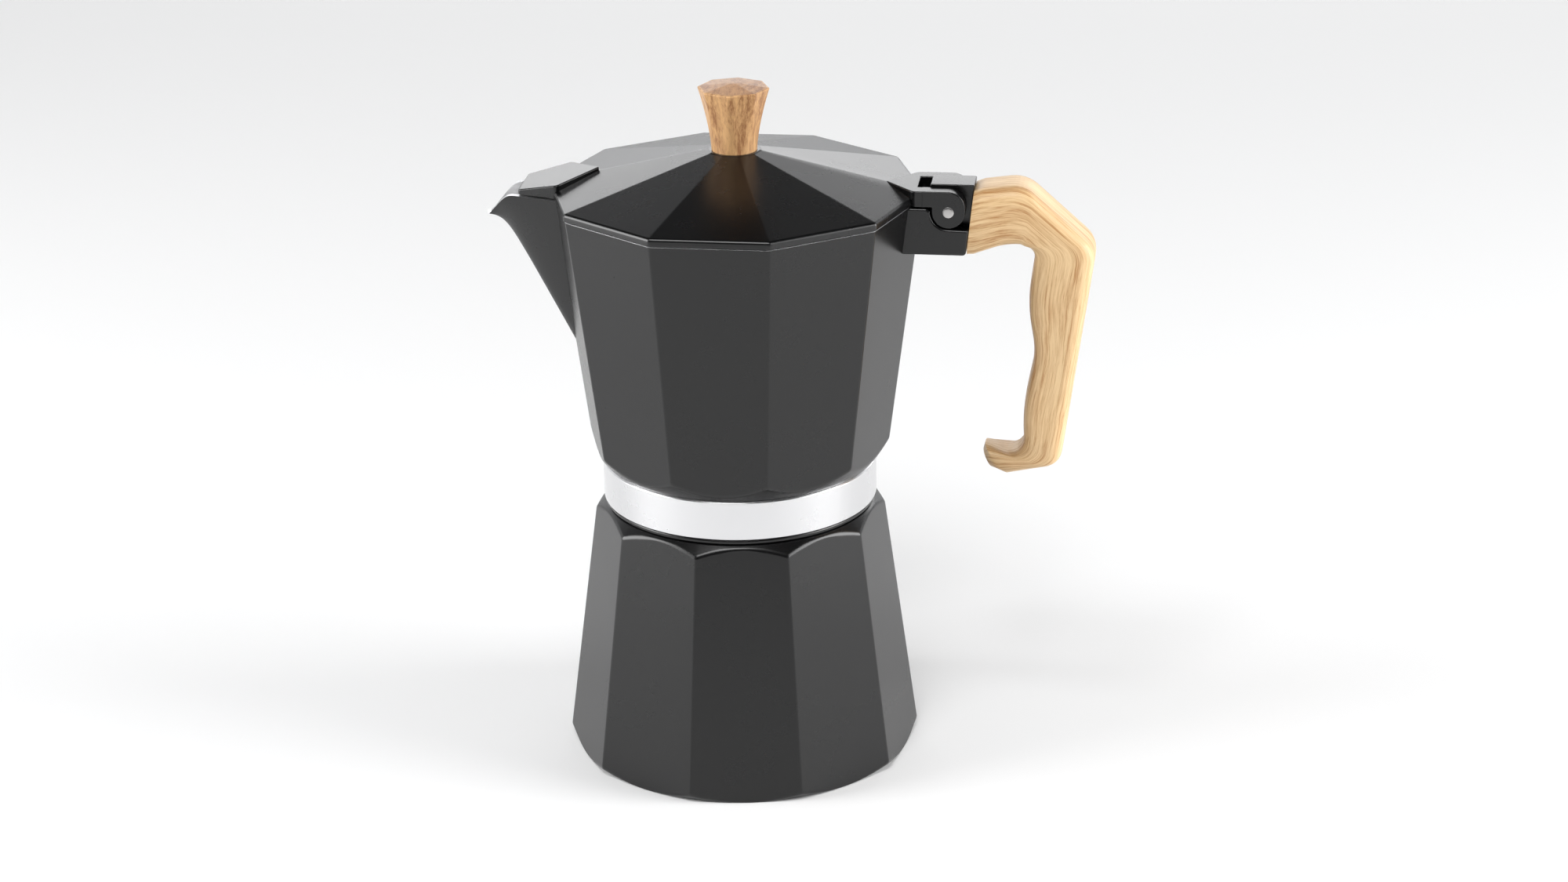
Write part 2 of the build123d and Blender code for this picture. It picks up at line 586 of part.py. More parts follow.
screw_floor_z = knob_seat_z - KNOB_BOSS_T
cavity_r = lid_r - LID_WALL
cavity_top_r = lid_r - (screw_floor_z - lid_edge_z + LID_SHEET) / LID_SLOPE
with BuildPart() as lid:
    polygon_loft(lid_z, lid_r, lid_edge_z, lid_r)
    polygon_loft(lid_edge_z, lid_r, lid_ridge_z(KNOB_SEAT_R), KNOB_SEAT_R)
    with BuildSketch(Plane.XY.offset(screw_floor_z)):
        Circle(KNOB_SEAT_R)
    extrude(amount=knob_seat_z - screw_floor_z)
    with BuildSketch(Plane.XZ):
        with Locations((pivot_x - CROTCH_BACK, 0)):
            Rectangle(FAR, 2 * FAR, align=(Align.MIN, Align.MIN))
    extrude(amount=TONGUE_HALF + PART_GAP, both=True, mode=Mode.SUBTRACT)
    add(beak.part)
    add(bracket.part)
    with BuildSketch(Plane.XY.offset(lid_z)):
        RegularPolygon(radius=cavity_r, side_count=SIDES)
    extrude(amount=lid_ridge_z(cavity_r) - LID_SHEET - lid_z, mode=Mode.SUBTRACT)
    with BuildSketch(Plane.XY.offset(lid_ridge_z(cavity_r) - LID_SHEET)):
        RegularPolygon(radius=cavity_r, side_count=SIDES)
    with BuildSketch(Plane.XY.offset(screw_floor_z)):
        RegularPolygon(radius=cavity_top_r, side_count=SIDES)
    loft(ruled=True, mode=Mode.SUBTRACT)
    with BuildSketch(Plane.XZ):
        with Locations((pivot_x, pivot_z)):
            Circle(PIN_R)
    extrude(amount=FAR, both=True, mode=Mode.SUBTRACT)
    with BuildSketch(Plane.XY.offset(screw_floor_z)):
        Circle(SCREW_R)
    extrude(amount=FAR, mode=Mode.SUBTRACT)
lid.part.label = "lid"
export_step(lid.part, "parts/lid.step")

with BuildPart() as hinge_pin:
    with BuildSketch(Plane.XZ):
        with Locations((pivot_x, pivot_z)):
            Circle(PIN_R)
    extrude(amount=HINGE_HALF, both=True)
hinge_pin.part.label = "hinge_pin"
export_step(hinge_pin.part, "parts/hinge_pin.step")

# ---------------------------------------------------------------- knob and its screw
with BuildPart() as knob:
    for rise, radius in ((0, KNOB_BASE_R), (KNOB_WAIST_H, KNOB_WAIST_R), (KNOB_HEIGHT, KNOB_RIM_R)):
        with BuildSketch(Plane.XY.offset(knob_seat_z + rise)):
            RegularPolygon(radius=radius, side_count=KNOB_SIDES)
    loft()
    polygon_loft(knob_seat_z + KNOB_HEIGHT, KNOB_RIM_R, knob_seat_z + KNOB_HEIGHT + KNOB_CROWN,
                 KNOB_FLAT_R, sides=KNOB_SIDES)
    with BuildSketch(Plane.XY.offset(knob_seat_z)):
        Circle(INSERT_R)
    extrude(amount=INSERT_LENGTH, mode=Mode.SUBTRACT)
knob.part.label = "knob"
export_step(knob.part, "parts/knob.step")

with BuildPart() as knob_insert:
    with BuildSketch(Plane.XY.offset(knob_seat_z)):
        Circle(INSERT_R)
        Circle(SCREW_R, mode=Mode.SUBTRACT)
    extrude(amount=INSERT_LENGTH)
knob_insert.part.label = "knob_insert"
export_step(knob_insert.part, "parts/knob_insert.step")

washer_z = screw_floor_z - WASHER_T
with BuildPart() as knob_washer:
    with BuildSketch(Plane.XY.offset(washer_z)):
        Circle(WASHER_R)
        Circle(SCREW_R, mode=Mode.SUBTRACT)
    extrude(amount=WASHER_T)
knob_washer.part.label = "knob_washer"
export_step(knob_washer.part, "parts/knob_washer.step")


def pan_screw(plane, shank):
    """Cross-head pan screw; the plane is the seat of its head, the shank goes along +Z of it."""
    with BuildSketch(plane) as shank_view:
        Circle(SCREW_R)
    extrude(shank_view.sketch, amount=shank)
    with BuildSketch(plane.offset(-SCREW_HEAD_T)) as head_view:
        Circle(SCREW_HEAD_R)
    extrude(head_view.sketch, amount=SCREW_HEAD_T)
    with BuildSketch(plane.offset(-SCREW_HEAD_T)) as cross_view:
        Rectangle(SCREW_HEAD_R, SHEET)
        Rectangle(SHEET, SCREW_HEAD_R)
    extrude(cross_view.sketch, amount=SCREW_HEAD_T / 2, mode=Mode.SUBTRACT)


with BuildPart() as knob_screw:
    pan_screw(Plane.XY.offset(washer_z), knob_seat_z + INSERT_LENGTH - SCREW_END_GAP - washer_z)
knob_screw.part.label = "knob_screw"
export_step(knob_screw.part, "parts/knob_screw.step")

# ---------------------------------------------------------------- handle and its screw
with BuildPart() as handle:
    with BuildSketch(Plane.XZ):
        with BuildLine():
            Polyline(handle_point(HANDLE_BEND_TOP), handle_point(HANDLE_JOINT[0]),
                     handle_point(HANDLE_JOINT[1]))
            FilletPolyline(handle_point(HANDLE_JOINT[1]), handle_point(HANDLE_CROWN),
                           handle_point(HANDLE_BACK), handle_point(HANDLE_HEEL),
                           handle_point(HANDLE_TOE), handle_point(HANDLE_TIP),
                           handle_point(HANDLE_CRUTCH), handle_point(HANDLE_PALM),
                           radius=HANDLE_ROUNDS)
            ThreePointArc(handle_point(HANDLE_PALM), handle_point(HANDLE_FINGER_LOW),
                          handle_point(HANDLE_NOTCH))
            ThreePointArc(handle_point(HANDLE_NOTCH), handle_point(HANDLE_FINGER_TOP),
                          handle_point(HANDLE_BEND_LOW))
            ThreePointArc(handle_point(HANDLE_BEND_LOW), handle_point(HANDLE_BEND_MID),
                          handle_point(HANDLE_BEND_TOP))
        make_face()
    extrude(amount=HANDLE_HALF, both=True)
    mortise_end = tenon_end + PART_GAP
    with BuildSketch(Plane.XZ):
        with BuildLine():
            Polyline((lug_foot[0] - OVERCUT, tenon_low - TENON_CLEARANCE),
                     (mortise_end, tenon_low - TENON_CLEARANCE),
                     (mortise_end, tenon_high + TENON_CLEARANCE),
                     (lug_foot[0] - OVERCUT, tenon_high + TENON_CLEARANCE), close=True)
        make_face()
    extrude(amount=TENON_HALF + TENON_CLEARANCE, both=True, mode=Mode.SUBTRACT)
    screw_seat_z = tenon_low - TENON_CLEARANCE - HANDLE_SCREW_WALL
    with BuildSketch(Plane.XY.offset(screw_seat_z)):
        with Locations((screw_x, 0)):
            Circle(SCREW_R + TENON_CLEARANCE)
    extrude(amount=HANDLE_SCREW_WALL, mode=Mode.SUBTRACT)
    with BuildSketch(Plane.XY.offset(screw_seat_z)):
        with Locations((screw_x, 0)):
            Circle(SCREW_HEAD_R + PART_GAP)
    extrude(amount=-TENON_DROP[0], mode=Mode.SUBTRACT)
handle.part.label = "handle"
export_step(handle.part, "parts/handle.step")

with BuildPart() as handle_screw:
    pan_screw(Plane.XY.offset(screw_seat_z).move(Location((screw_x, 0, 0))), SCREW_BITE)
handle_screw.part.label = "handle_screw"
export_step(handle_screw.part, "parts/handle_screw.step")
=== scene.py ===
import bmesh
import bpy
import numpy as np
from mathutils import Matrix, Vector


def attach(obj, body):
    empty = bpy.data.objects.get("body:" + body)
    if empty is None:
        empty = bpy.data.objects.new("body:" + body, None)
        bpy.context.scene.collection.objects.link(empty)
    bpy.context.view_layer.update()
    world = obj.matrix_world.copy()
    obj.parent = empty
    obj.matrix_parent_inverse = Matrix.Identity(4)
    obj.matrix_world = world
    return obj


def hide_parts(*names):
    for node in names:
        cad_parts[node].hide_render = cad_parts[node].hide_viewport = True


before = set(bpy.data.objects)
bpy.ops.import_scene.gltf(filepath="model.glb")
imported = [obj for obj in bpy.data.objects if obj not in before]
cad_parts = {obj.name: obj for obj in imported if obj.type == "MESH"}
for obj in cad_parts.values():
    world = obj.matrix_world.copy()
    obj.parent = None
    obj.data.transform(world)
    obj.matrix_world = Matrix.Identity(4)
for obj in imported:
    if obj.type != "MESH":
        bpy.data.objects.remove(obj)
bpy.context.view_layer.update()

# ---------------------------------------------------------------- boiler
# The water chamber is cast in one piece with ten facets, a turned foot and a turned shoulder.
# It has a satin black coat outside. The neck with its thread and the inside are bare metal.
SIDES = 10
HALF_FACET = np.pi / SIDES
FACET_FLAT = np.cos(HALF_FACET)       # across flats over across corners
FACET_ROUND = 1.6                     # the cast corners are rounded, millimetres
BOILER_TURN = np.radians(8.35)        # corners lag the pot's when it is screwed tight
BOILER_FOOT_R = 55.3
BOILER_SHOULDER_R = 44.85
BOILER_SHOULDER_Z = 77.4
BOILER_WALL = 3.2
BOILER_FLOOR = 4.0
FLOOR_MIDDLE_R = 20.0                 # the flat middle that closes the foot and the floor
FOOT_CHAMFER = 2.8
FOOT_FACE_INSET = 0.6
BEAD_R = 41.6
BEAD_Z = 80.5
GROOVE_LIP = 0.1                      # the groove under the bead: lip, depth, middle and height
GROOVE_DEPTH = 0.9
GROOVE_MIDDLE = 0.25
GROOVE_HEIGHT = 0.45
NECK_R = 36.0
NECK_Z = 82.3
NECK_TOP = 91.0
MOUTH_R = 31.5
CAVITY_SHOULDER_Z = 69.8
CAVITY_BLEND = 4                      # height over which the cavity goes from facets to round
THREAD_DEPTH = 0.8
THREAD_PITCH = 2.6


def facet_columns(sides, turn, arc_steps=6, flat_steps=12):
    """Columns round a polygon with rounded corners, as two unit patterns.

    A point of the outline is (corner radius - round / flat) * reach + round * bulge: reach goes
    straight from corner to corner, and bulge is the normal, which turns only round the corners.
    """
    half = np.pi / sides
    reach = []
    bulge = []
    for k in range(sides):
        here, there = turn + 2 * half * k, turn + 2 * half * (k + 1)
        swing = here + np.linspace(-half, half, arc_steps + 1)
        reach.append(np.tile([np.cos(here), np.sin(here)], (len(swing), 1)))
        bulge.append(np.stack([np.cos(swing), np.sin(swing)], axis=1))
        mix = np.linspace(0, 1, flat_steps + 1)[1:-1, None]
        near_corner, far_corner = [np.cos(here), np.sin(here)], [np.cos(there), np.sin(there)]
        reach.append((1 - mix) * near_corner + mix * far_corner)
        bulge.append(np.tile([np.cos(here + half), np.sin(here + half)], (len(mix), 1)))
    return np.concatenate(reach), np.concatenate(bulge)


class Columns:
    """Rings for one polygon: facet gives a ring with facets, round a circle on the same columns."""

    def __init__(self, sides, turn, corner_round, **steps):
        self.reach, self.bulge = facet_columns(sides, turn, **steps)
        self.flat = np.cos(np.pi / sides)
        self.corner_round = corner_round
        spoke = 0.96 * self.reach + 0.04 * self.bulge
        self.spoke = spoke / np.linalg.norm(spoke, axis=1)[:, None]
        self.angle = np.arctan2(self.spoke[:, 1], self.spoke[:, 0])

    def facet(self, radius, z, corner_round=None):
        """Ring with facets; radius is that of the sharp corners, and z one height or one a column."""
        corner = self.corner_round if corner_round is None else corner_round
        radius = np.broadcast_to(radius, len(self.reach))[:, None]
        ring = (radius - corner / self.flat) * self.reach + corner * self.bulge
        return np.column_stack([ring, np.broadcast_to(z, len(ring))])

    def round(self, radius, z):
        """Ring on a circle."""
        ring = self.spoke * np.broadcast_to(radius, len(self.spoke))[:, None]
        return np.column_stack([ring, np.broadcast_to(z, len(ring))])

    def crease(self, facet_low, facet_high, cone_low, cone_high):
        """Ring where a faceted wall meets a turned cone; each is given as (radius, z) twice.

        Along one column both radii are straight in z, so they meet where their lines cross.
        """
        def line(low, high, ring):
            r_low = np.linalg.norm(ring(*low)[:, :2], axis=1)
            r_high = np.linalg.norm(ring(*high)[:, :2], axis=1)
            rise = (r_high - r_low) / (high[1] - low[1])
            return r_low - rise * low[1], rise
        wall, wall_rise = line(facet_low, facet_high, self.facet)
        cone, cone_rise = line(cone_low, cone_high, self.round)
        z = np.clip((cone - wall) / (wall_rise - cone_rise), min(cone_low[1], cone_high[1]),
                    max(cone_low[1], cone_high[1]))
        share = (z - facet_low[1]) / (facet_high[1] - facet_low[1])
        return self.facet(facet_low[0] + share * (facet_high[0] - facet_low[0]), z)


def bent(corners, cuts, arc=5, closed=False):
    """Rows along a path of corner rings, each corner replaced by a circular arc.

    The arc starts and ends one cut away from its corner (less where the next corner is near):
    it is the rational parabola whose middle weight is the sine of half the corner's angle.
    """
    corners = [np.asarray(c, float) for c in corners]
    count = len(corners)
    rows = []
    t = np.linspace(0, 1, arc + 1)[:, None, None]
    for i, (corner, cut) in enumerate(zip(corners, cuts)):
        if cut == 0 or (not closed and i in (0, count - 1)):
            rows.append(corner[None])
            continue
        before = corners[i - 1] - corner
        after = corners[(i + 1) % count] - corner
        far_before = np.linalg.norm(before, axis=1)[:, None] + 1e-9
        far_after = np.linalg.norm(after, axis=1)[:, None] + 1e-9
        start = before / far_before
        end = after / far_after
        length = np.minimum(cut, 0.48 * np.minimum(far_before, far_after))
        turn = np.clip((start * end).sum(axis=1)[:, None], -1, 1)
        weight = np.sqrt((1 - turn) / 2)
        lead, middle, trail = (1 - t) ** 2, 2 * weight * t * (1 - t), t ** 2
        rows.append((lead * (corner + start * length) + middle * corner
                     + trail * (corner + end * length)) / (lead + middle + trail))
    return np.concatenate(rows)


def grid_faces(rows, columns, wrap_rows=False, wrap_columns=True, first=0):
    """Quads of a grid whose vertices are numbered along the columns of each row."""
    i = np.arange(rows if wrap_rows else rows - 1)[:, None]
    j = np.arange(columns if wrap_columns else columns - 1)[None, :]
    near, far = i * columns, (i + 1) % rows * columns
    next_j = (j + 1) % columns
    quads = np.stack([near + j, near + next_j, far + next_j, far + j], axis=-1)
    return (first + quads.reshape(-1, 4)).tolist()


class Shape:
    """A mesh in the making: closed grids are added to it in millimetres."""

    def __init__(self):
        self.points = []
        self.faces = []
        self.finish = []
        self.uv = []
        self.count = 0

    def add(self, rows, wrap_rows=False, poles=(False, False), caps=(False, False), finish=0,
            uv=None, wrap_columns=True, side_caps=False):
        """Adds a grid of rings: poles closes an end on one point, caps with one flat face.

        side_caps closes both sides of a grid whose columns are open. finish is the material's
        place, one number or one for each row.
        """
        m, n = rows.shape[:2]
        faces = grid_faces(m, n, wrap_rows, wrap_columns, first=self.count)
        row_of = np.repeat(np.arange(m if wrap_rows else m - 1), n if wrap_columns else n - 1)
        finish = np.broadcast_to(finish, m)
        marks = finish[row_of].tolist()
        points = [rows.reshape(-1, 3)]
        last = self.count + (m - 1) * n
        ring = np.arange(n)
        for at_end in (0, 1):
            base = last if at_end else self.count
            if poles[at_end]:
                centre = self.count + m * n + sum(len(p) for p in points[1:])
                points.append(rows[-1 if at_end else 0].mean(axis=0)[None])
                fan = np.stack([base + ring, base + (ring + 1) % n, np.full(n, centre)], axis=1)
                faces += fan.tolist()
                marks += [int(finish[-1 if at_end else 0])] * n
            if caps[at_end]:
                faces.append((base + ring).tolist())
                marks.append(int(finish[-1 if at_end else 0]))
        if side_caps:
            for side in (0, n - 1):
                faces.append((self.count + side + n * np.arange(m)).tolist())
                marks.append(int(finish[0]))
        coords = np.zeros((m * n, 2)) if uv is None else uv.reshape(-1, 2)
        self.points += points
        self.uv.append(coords)
        self.uv.append(np.zeros((sum(len(p) for p in points[1:]), 2)))
        self.faces += faces
        self.finish += marks
        self.count += sum(len(p) for p in points)

    def make(self, name, body, materials, nodes=(), smooth=40.0):
        """The finished object: outward faces, smooth shading over flats kept flat, on its body."""
        mesh = bpy.data.meshes.new(name)
        mesh.from_pydata((np.concatenate(self.points) * 0.001).tolist(), [], self.faces)
        layer = mesh.uv_layers.new(name="grain")
        corners = np.empty(len(mesh.loops), int)
        mesh.loops.foreach_get("vertex_index", corners)
        layer.data.foreach_set("uv", np.concatenate(self.uv)[corners].astype(np.float32).ravel())
        mesh.polygons.foreach_set("material_index", self.finish)
        for material in materials:
            mesh.materials.append(material)
        work = bmesh.new()
        work.from_mesh(mesh)
        bmesh.ops.remove_doubles(work, verts=work.verts, dist=1e-6)
        bmesh.ops.recalc_face_normals(work, faces=work.faces)
        work.to_mesh(mesh)
        work.free()
        mesh.set_sharp_from_angle(angle=np.radians(smooth))
        mesh.polygons.foreach_set("use_smooth", [True] * len(mesh.polygons))
        piece = bpy.data.objects.new(name, mesh)
        bpy.context.scene.collection.objects.link(piece)
        even = piece.modifiers.new("even shading", "WEIGHTED_NORMAL")
        even.keep_sharp = True
        even.weight = 80
        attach(piece, body)
        if nodes:
            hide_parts(*nodes)
        return piece


def node_group(name, inputs, outputs, build):
    """A shader node group. inputs are (name, kind, default), outputs (name, kind)."""
    group = bpy.data.node_groups.new(name, "ShaderNodeTree")
    for title, kind, default in inputs:
        socket = group.interface.new_socket(name=title, in_out="INPUT", socket_type=kind)
        if default is not None:
            socket.default_value = default
    for title, kind in outputs:
        group.interface.new_socket(name=title, in_out="OUTPUT", socket_type=kind)
    start = group.nodes.new("NodeGroupInput")
    end = group.nodes.new("NodeGroupOutput")
    build(group, start, end)
    return group


def noise(tree, vector, scale, detail=4.0, roughness=0.55):
    """Noise node on a vector."""
    node = tree.nodes.new("ShaderNodeTexNoise")
    node.inputs["Scale"].default_value = scale
    node.inputs["Detail"].default_value = detail
    node.inputs["Roughness"].default_value = roughness
    tree.links.new(vector, node.inputs["Vector"])
    return node


def remap(tree, value, low, high, to_low, to_high):
    """Map Range node, clamped."""
    node = tree.nodes.new("ShaderNodeMapRange")
    for title, number in (("From Min", low), ("From Max", high),
                          ("To Min", to_low), ("To Max", to_high)):
        node.inputs[title].default_value = number
    tree.links.new(value, node.inputs["Value"])
    return node.outputs["Result"]


def build_speckle(tree, start, end):
    """Fine grain of a surface: bumps, and patches that are a little duller."""
    grain = noise(tree, start.outputs["Vector"], 1.0, detail=3.0)
    tree.links.new(start.outputs["Grain scale"], grain.inputs["Scale"])
    patch = noise(tree, start.outputs["Vector"], 1.0, detail=5.0, roughness=0.6)
    tree.links.new(start.outputs["Patch scale"], patch.inputs["Scale"])
    spread = tree.nodes.new("ShaderNodeMath")
    spread.operation = "MULTIPLY_ADD"
    offset = tree.nodes.new("ShaderNodeMath")
    offset.operation = "SUBTRACT"
    offset.inputs[1].default_value = 0.5
    tree.links.new(patch.outputs["Fac"], offset.inputs[0])
    tree.links.new(offset.outputs[0], spread.inputs[0])
    tree.links.new(start.outputs["Unevenness"], spread.inputs[1])
    tree.links.new(start.outputs["Roughness"], spread.inputs[2])
    tree.links.new(grain.outputs["Fac"], end.inputs["Height"])
    tree.links.new(patch.outputs["Fac"], end.inputs["Patches"])
    tree.links.new(spread.outputs[0], end.inputs["Roughness"])


speckle = node_group(
    "fine surface grain",
    [("Vector", "NodeSocketVector", None), ("Grain scale", "NodeSocketFloat", 2500.0),
     ("Patch scale", "NodeSocketFloat", 60.0), ("Roughness", "NodeSocketFloat", 0.4),
     ("Unevenness", "NodeSocketFloat", 0.1)],
    [("Height", "NodeSocketFloat"), ("Patches", "NodeSocketFloat"),
     ("Roughness", "NodeSocketFloat")],
    build_speckle)


def surface(name, color, color_far, metallic, roughness, unevenness, grain_scale, patch_scale,
            bump, distance=0.0001):
    """Material with two close colours in patches, uneven gloss and a fine grain in its bump."""
    material = bpy.data.materials.new(name)
    material.use_nodes = True
    tree = material.node_tree
    shader = tree.nodes["Principled BSDF"]
    shader.inputs["Metallic"].default_value = metallic
    place = tree.nodes.new("ShaderNodeTexCoord")
    grain = tree.nodes.new("ShaderNodeGroup")
    grain.node_tree = speckle
    tree.links.new(place.outputs["Object"], grain.inputs["Vector"])
    for title, number in (("Grain scale", grain_scale), ("Patch scale", patch_scale),
                          ("Roughness", roughness), ("Unevenness", unevenness)):
        grain.inputs[title].default_value = number
    tint = tree.nodes.new("ShaderNodeMix")
    tint.data_type = "RGBA"
    tint.inputs["A"].default_value = (*color, 1)
    tint.inputs["B"].default_value = (*color_far, 1)
    tree.links.new(grain.outputs["Patches"], tint.inputs["Factor"])
    tree.links.new(tint.outputs["Result"], shader.inputs["Base Color"])
    tree.links.new(grain.outputs["Roughness"], shader.inputs["Roughness"])
    relief = tree.nodes.new("ShaderNodeBump")
    relief.inputs["Strength"].default_value = bump
    relief.inputs["Distance"].default_value = distance
    tree.links.new(grain.outputs["Height"], relief.inputs["Height"])
    tree.links.new(relief.outputs["Normal"], shader.inputs["Normal"])
    return material


black_coat = surface("black coat", (0.0018, 0.0018, 0.002), (0.003, 0.003, 0.0032), metallic=0.0,
                     roughness=0.27, unevenness=0.05, grain_scale=1600.0, patch_scale=30.0,
                     bump=0.10, distance=0.00005)
bare_cast = surface("bare cast aluminium", (0.60, 0.60, 0.61), (0.72, 0.72, 0.73), metallic=1.0,
                    roughness=0.42, unevenness=0.25, grain_scale=1400.0, patch_scale=70.0, bump=0.5)


def threaded(columns, base, depth, low, high, rows=36):
    """Rings of a screw thread: the radius swings by a sine of (height / pitch - turn)."""
    z = np.linspace(low, high, rows)[:, None]
    fade = np.clip(np.minimum(z - low, high - z) / THREAD_PITCH, 0, 1)
    wave = np.sin(2 * np.pi * z / THREAD_PITCH - columns.angle[None, :])
    radius = base + depth * fade * (wave - 1) / 2
    ring = columns.spoke[None] * radius[..., None]
    return np.concatenate([ring, np.broadcast_to(z[..., None], (*radius.shape, 1))], axis=2)


def boiler_r(z, inset=0.0):
    """Corner radius of the boiler's outside at a height, less a wall."""
    taper = (BOILER_FOOT_R - BOILER_SHOULDER_R) * z / BOILER_SHOULDER_Z
    return BOILER_FOOT_R - taper - inset / FACET_FLAT


boiler_columns = Columns(SIDES, BOILER_TURN, FACET_ROUND)
foot_low, foot_high = (boiler_r(0), 0.0), (boiler_r(BEAD_Z), BEAD_Z)
outside = bent([
    boiler_columns.round(FLOOR_MIDDLE_R, 0.0),
    boiler_columns.round(boiler_r(0) * FACET_FLAT - FOOT_FACE_INSET, 0.0),
    boiler_columns.crease(foot_low, foot_high, (BOILER_FOOT_R - FOOT_CHAMFER, 0.05),
                          (BOILER_FOOT_R, FOOT_CHAMFER)),
    boiler_columns.crease(foot_low, foot_high, (BOILER_SHOULDER_R, BOILER_SHOULDER_Z),
                          (BEAD_R, BEAD_Z)),
    boiler_columns.round(BEAD_R - GROOVE_LIP, BEAD_Z),
    boiler_columns.round(BEAD_R - GROOVE_DEPTH, BEAD_Z + GROOVE_MIDDLE),
    boiler_columns.round(BEAD_R, BEAD_Z + GROOVE_HEIGHT),
    boiler_columns.round(BEAD_R, NECK_Z),
    boiler_columns.round(NECK_R, NECK_Z),
], (0, 0.5, 1.0, 0.9, 0.15, 0.1, 0.5, 0.6, 0))
neck = threaded(boiler_columns, NECK_R, THREAD_DEPTH, NECK_Z + 0.2, NECK_TOP - 0.4)
inside = bent([
    boiler_columns.round(NECK_R - THREAD_DEPTH, NECK_TOP),
    boiler_columns.round(MOUTH_R, NECK_TOP),
    boiler_columns.round(MOUTH_R, BEAD_Z - BOILER_WALL),
    boiler_columns.round(boiler_r(CAVITY_SHOULDER_Z, BOILER_WALL) * FACET_FLAT, CAVITY_SHOULDER_Z),
    boiler_columns.facet(boiler_r(CAVITY_SHOULDER_Z - CAVITY_BLEND, BOILER_WALL),
                         CAVITY_SHOULDER_Z - CAVITY_BLEND),
    boiler_columns.facet(boiler_r(BOILER_FLOOR, BOILER_WALL), BOILER_FLOOR),
    boiler_columns.round(FLOOR_MIDDLE_R, BOILER_FLOOR),
], (0, 0.6, 1.0, 1.5, 1.0, 4.0, 0))
boiler_shape = Shape()
boiler_rows = np.concatenate([outside, neck, inside])
boiler_shape.add(boiler_rows, poles=(True, True),
                 finish=[0] * (len(outside) - 2) + [1] * (len(neck) + len(inside) + 2))
boiler_shape.make("boiler_shell", "base", [black_coat, bare_cast], ["boiler"])

# ---------------------------------------------------------------- safety valve
# A brass valve body screws into the boiler's back facet on a silicone washer. A steel stem and
# spring work inside it behind a pressed-in cap.
brass = surface("machined brass", (0.62, 0.42, 0.16), (0.74, 0.54, 0.24), metallic=1.0,
                roughness=0.30, unevenness=0.12, grain_scale=1500.0, patch_scale=90.0, bump=0.25)
steel = surface("plain steel", (0.42, 0.41, 0.40), (0.62, 0.61, 0.60), metallic=1.0,
                roughness=0.34, unevenness=0.30, grain_scale=900.0, patch_scale=320.0, bump=0.4)
silicone = surface("pale silicone", (0.66, 0.63, 0.56), (0.72, 0.70, 0.64), metallic=0.0,
                   roughness=0.55, unevenness=0.1, grain_scale=1200.0, patch_scale=80.0, bump=0.2)


def dress(material, *nodes):
    """Gives CAD pieces that keep their shape their material."""
    for name in nodes:
        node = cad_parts[name]
        node.data.materials.clear()
        node.data.materials.append(material)


dress(brass, "valve_body", "valve_cap", "knob_insert")
dress(steel, "valve_stem", "valve_spring", "knob_washer", "knob_screw", "handle_screw")
dress(silicone, "valve_seal", "gasket")

# ---------------------------------------------------------------- funnel, filter plate and riser
# The funnel and its strainer are spun and punched from sheet. The filter plate is punched sheet,
# held by the gasket. The riser column and its cap are turned and pressed into the pot's floor.
aluminium = surface("spun aluminium", (0.72, 0.72, 0.73), (0.82, 0.82, 0.83), metallic=1.0,
                    roughness=0.30, unevenness=0.18, grain_scale=1800.0, patch_scale=60.0, bump=0.3)
dress(aluminium, "funnel", "funnel_strainer", "filter_plate", "riser", "riser_cap")

# ---------------------------------------------------------------- bare band
# The machined ring at the foot of the pot is left bare, with fine turning marks round it and a
# bevel at its top.
BAND_R = 42.15
BAND_INNER_R = 39.0
BAND_LOW = 82.6
BAND_TOP = 95.1
BAND_BEVEL = 0.7
MARK_STRETCH = (0.02, 0.02, 1.0)      # the marks change fifty times faster up the band than round it
band_columns = Columns(SIDES, 0.0, FACET_ROUND)


def turned_metal(name, color, roughness, mark_scale):
    """Metal with turning marks: noise stretched round the axis, so it changes only with height."""
    material = surface(name, color, tuple(0.93 * c for c in color), metallic=1.0, roughness=roughness,
                       unevenness=0.10, grain_scale=900.0, patch_scale=30.0, bump=0.15)
    tree = material.node_tree
    shader = tree.nodes["Principled BSDF"]
    place = next(n for n in tree.nodes if n.bl_idname == "ShaderNodeTexCoord")
    stretch = tree.nodes.new("ShaderNodeMapping")
    stretch.inputs["Scale"].default_value = MARK_STRETCH
    tree.links.new(place.outputs["Object"], stretch.inputs["Vector"])
    marks = noise(tree, stretch.outputs["Vector"], mark_scale, detail=2.0)
    rings = tree.nodes.new("ShaderNodeBump")
    rings.inputs["Strength"].default_value = 0.12
    rings.inputs["Distance"].default_value = 0.00005
    relief = shader.inputs["Normal"].links[0].from_node
    tree.links.new(marks.outputs["Fac"], rings.inputs["Height"])
    tree.links.new(relief.outputs["Normal"], rings.inputs["Normal"])
    tree.links.new(rings.outputs["Normal"], shader.inputs["Normal"])
    return material


satin_band = turned_metal("turned band", (0.74, 0.74, 0.75), roughness=0.27, mark_scale=2200.0)
band_rows = bent([
    band_columns.round(BAND_INNER_R, BAND_LOW), band_columns.round(BAND_R, BAND_LOW),
    band_columns.round(BAND_R, BAND_TOP - BAND_BEVEL),
    band_columns.round(BAND_R - BAND_BEVEL, BAND_TOP),
    band_columns.round(BAND_INNER_R, BAND_TOP)], (0, 0.25, 0.12, 0.12, 0))
band_shape = Shape()
band_shape.add(band_rows, wrap_rows=True)
band_shape.make("bare_band", "upper", [satin_band], ["skirt_band"])

